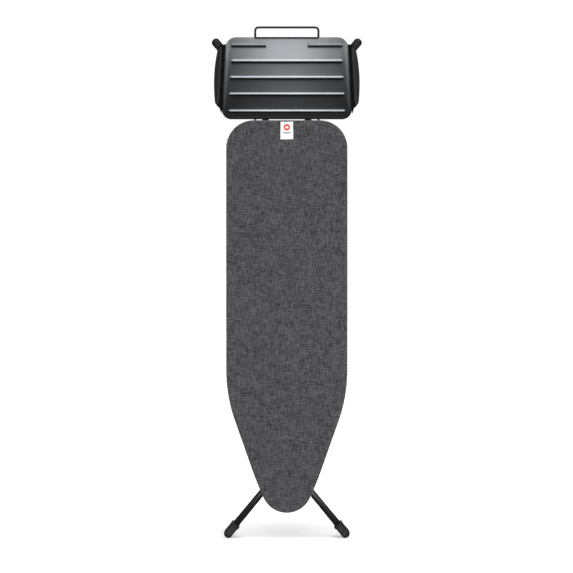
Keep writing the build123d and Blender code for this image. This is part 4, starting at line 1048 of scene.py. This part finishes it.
# ---------------------------------------------------------------------------------------------
# Side guards. Each is a bow-shaped blade moulded onto a hinge barrel, in heat-resistant plastic,
# and swings up from a black bracket along the tray so that the iron and its cord stay on.
# ---------------------------------------------------------------------------------------------
TRAY_LEAN = math.atan2(TRAY_HALF_LOW - TRAY_HALF_HIGH, tray_high.z - tray_low.z)
GUARD_MID_Z, GUARD_HALF = 1.464, 0.091
HINGE_OUT, HINGE_Y = 13.55 * MM, FRONT + 14 * MM
BARREL_RADIUS, BLADE_HALF = 4.7 * MM, 1.6 * MM
BARREL_CLOSING, BLADE_CLOSING = 0.3 * MM, 9 * MM  # lengths over which the ends round off
GUARD_SLOPE = math.radians(45)
guard_plastic = moulding("guard_plastic", (0.008, 0.008, 0.009), (0.025, 0.025, 0.027), 0.42)
# The brackets are black plastic, made darker than the other mouldings as painted shade for the gap beside the
# tray.
bracket_plastic = moulding("bracket_plastic", (0.001, 0.001, 0.001), (0.004, 0.004, 0.004), 0.8, specular=0.03)


def closing(t, length):
    """Rises from 0 at either end of the blade to 1 as a quarter circle over a length."""
    return np.sqrt(1 - (1 - np.clip((1 - np.abs(t)) * GUARD_HALF / length, 0, 1)) ** 2)


def guard_blade(name, side, node, body):
    """Blade swept along its hinge: each section is the outline of a barrel and a slimmer edge bead
    joined by two hollow flanks; the edge bead's distance follows a bow and closes at both ends."""
    climb = np.array([-side * math.sin(TRAY_LEAN), 0, math.cos(TRAY_LEAN)])
    out = np.array([side * math.cos(TRAY_LEAN), 0, math.sin(TRAY_LEAN)])
    back = np.array([0.0, 1.0, 0.0])
    q = out * math.cos(GUARD_SLOPE) + back * math.sin(GUARD_SLOPE)
    n = -out * math.sin(GUARD_SLOPE) + back * math.cos(GUARD_SLOPE)
    root = np.array([side * tray_side(GUARD_MID_Z), HINGE_Y, GUARD_MID_Z]) + out * HINGE_OUT
    t = np.sin(np.linspace(-1, 1, 141) * math.pi / 2)
    bow = (12.5 + 0.5 * t + 11.8 * (1 - t**2) * (1 + 0.10 * t)) * MM
    reach = BARREL_RADIUS + (bow - BARREL_RADIUS) * closing(t, BLADE_CLOSING)
    flank = np.linspace(0, 1, 12)[:, None]
    thickness = BLADE_HALF + (BARREL_RADIUS - BLADE_HALF) * (1 - flank) ** 3
    straight = flank * (reach[None] - BLADE_HALF)
    a = np.linspace(math.pi / 2, -math.pi / 2, 9)[1:-1, None]
    tip_u = reach[None] - BLADE_HALF + BLADE_HALF * np.cos(a)
    tip_v = np.broadcast_to(BLADE_HALF * np.sin(a), tip_u.shape)
    b = np.linspace(-math.pi / 2, -3 * math.pi / 2, 15)[1:-1, None]
    barrel_u, barrel_v = [np.broadcast_to(BARREL_RADIUS * f(b), (len(b), len(t))) for f in (np.cos, np.sin)]
    level = np.broadcast_to(thickness, straight.shape)
    u = np.concatenate([straight, tip_u, straight[::-1], barrel_u])
    v = np.concatenate([level, tip_v, -level[::-1], barrel_v]) * closing(t, BARREL_CLOSING)
    points = root + (t * GUARD_HALF)[None, :, None] * climb + u[..., None] * q + v[..., None] * n
    blade = put_mesh(name, points, grid_faces(len(u), len(t), wrap_rows=True))
    close_seams(blade, merge=2e-6)
    blade.data.materials.append(guard_plastic)
    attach(blade, body)
    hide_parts(node)


for side, word in SIDES:
    guard_blade(f"guard_blade_{word}", side, f"side_guard_{word}", f"guard_{word}")
dress(["guard_bracket_left", "guard_bracket_right"], bracket_plastic)

low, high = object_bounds()
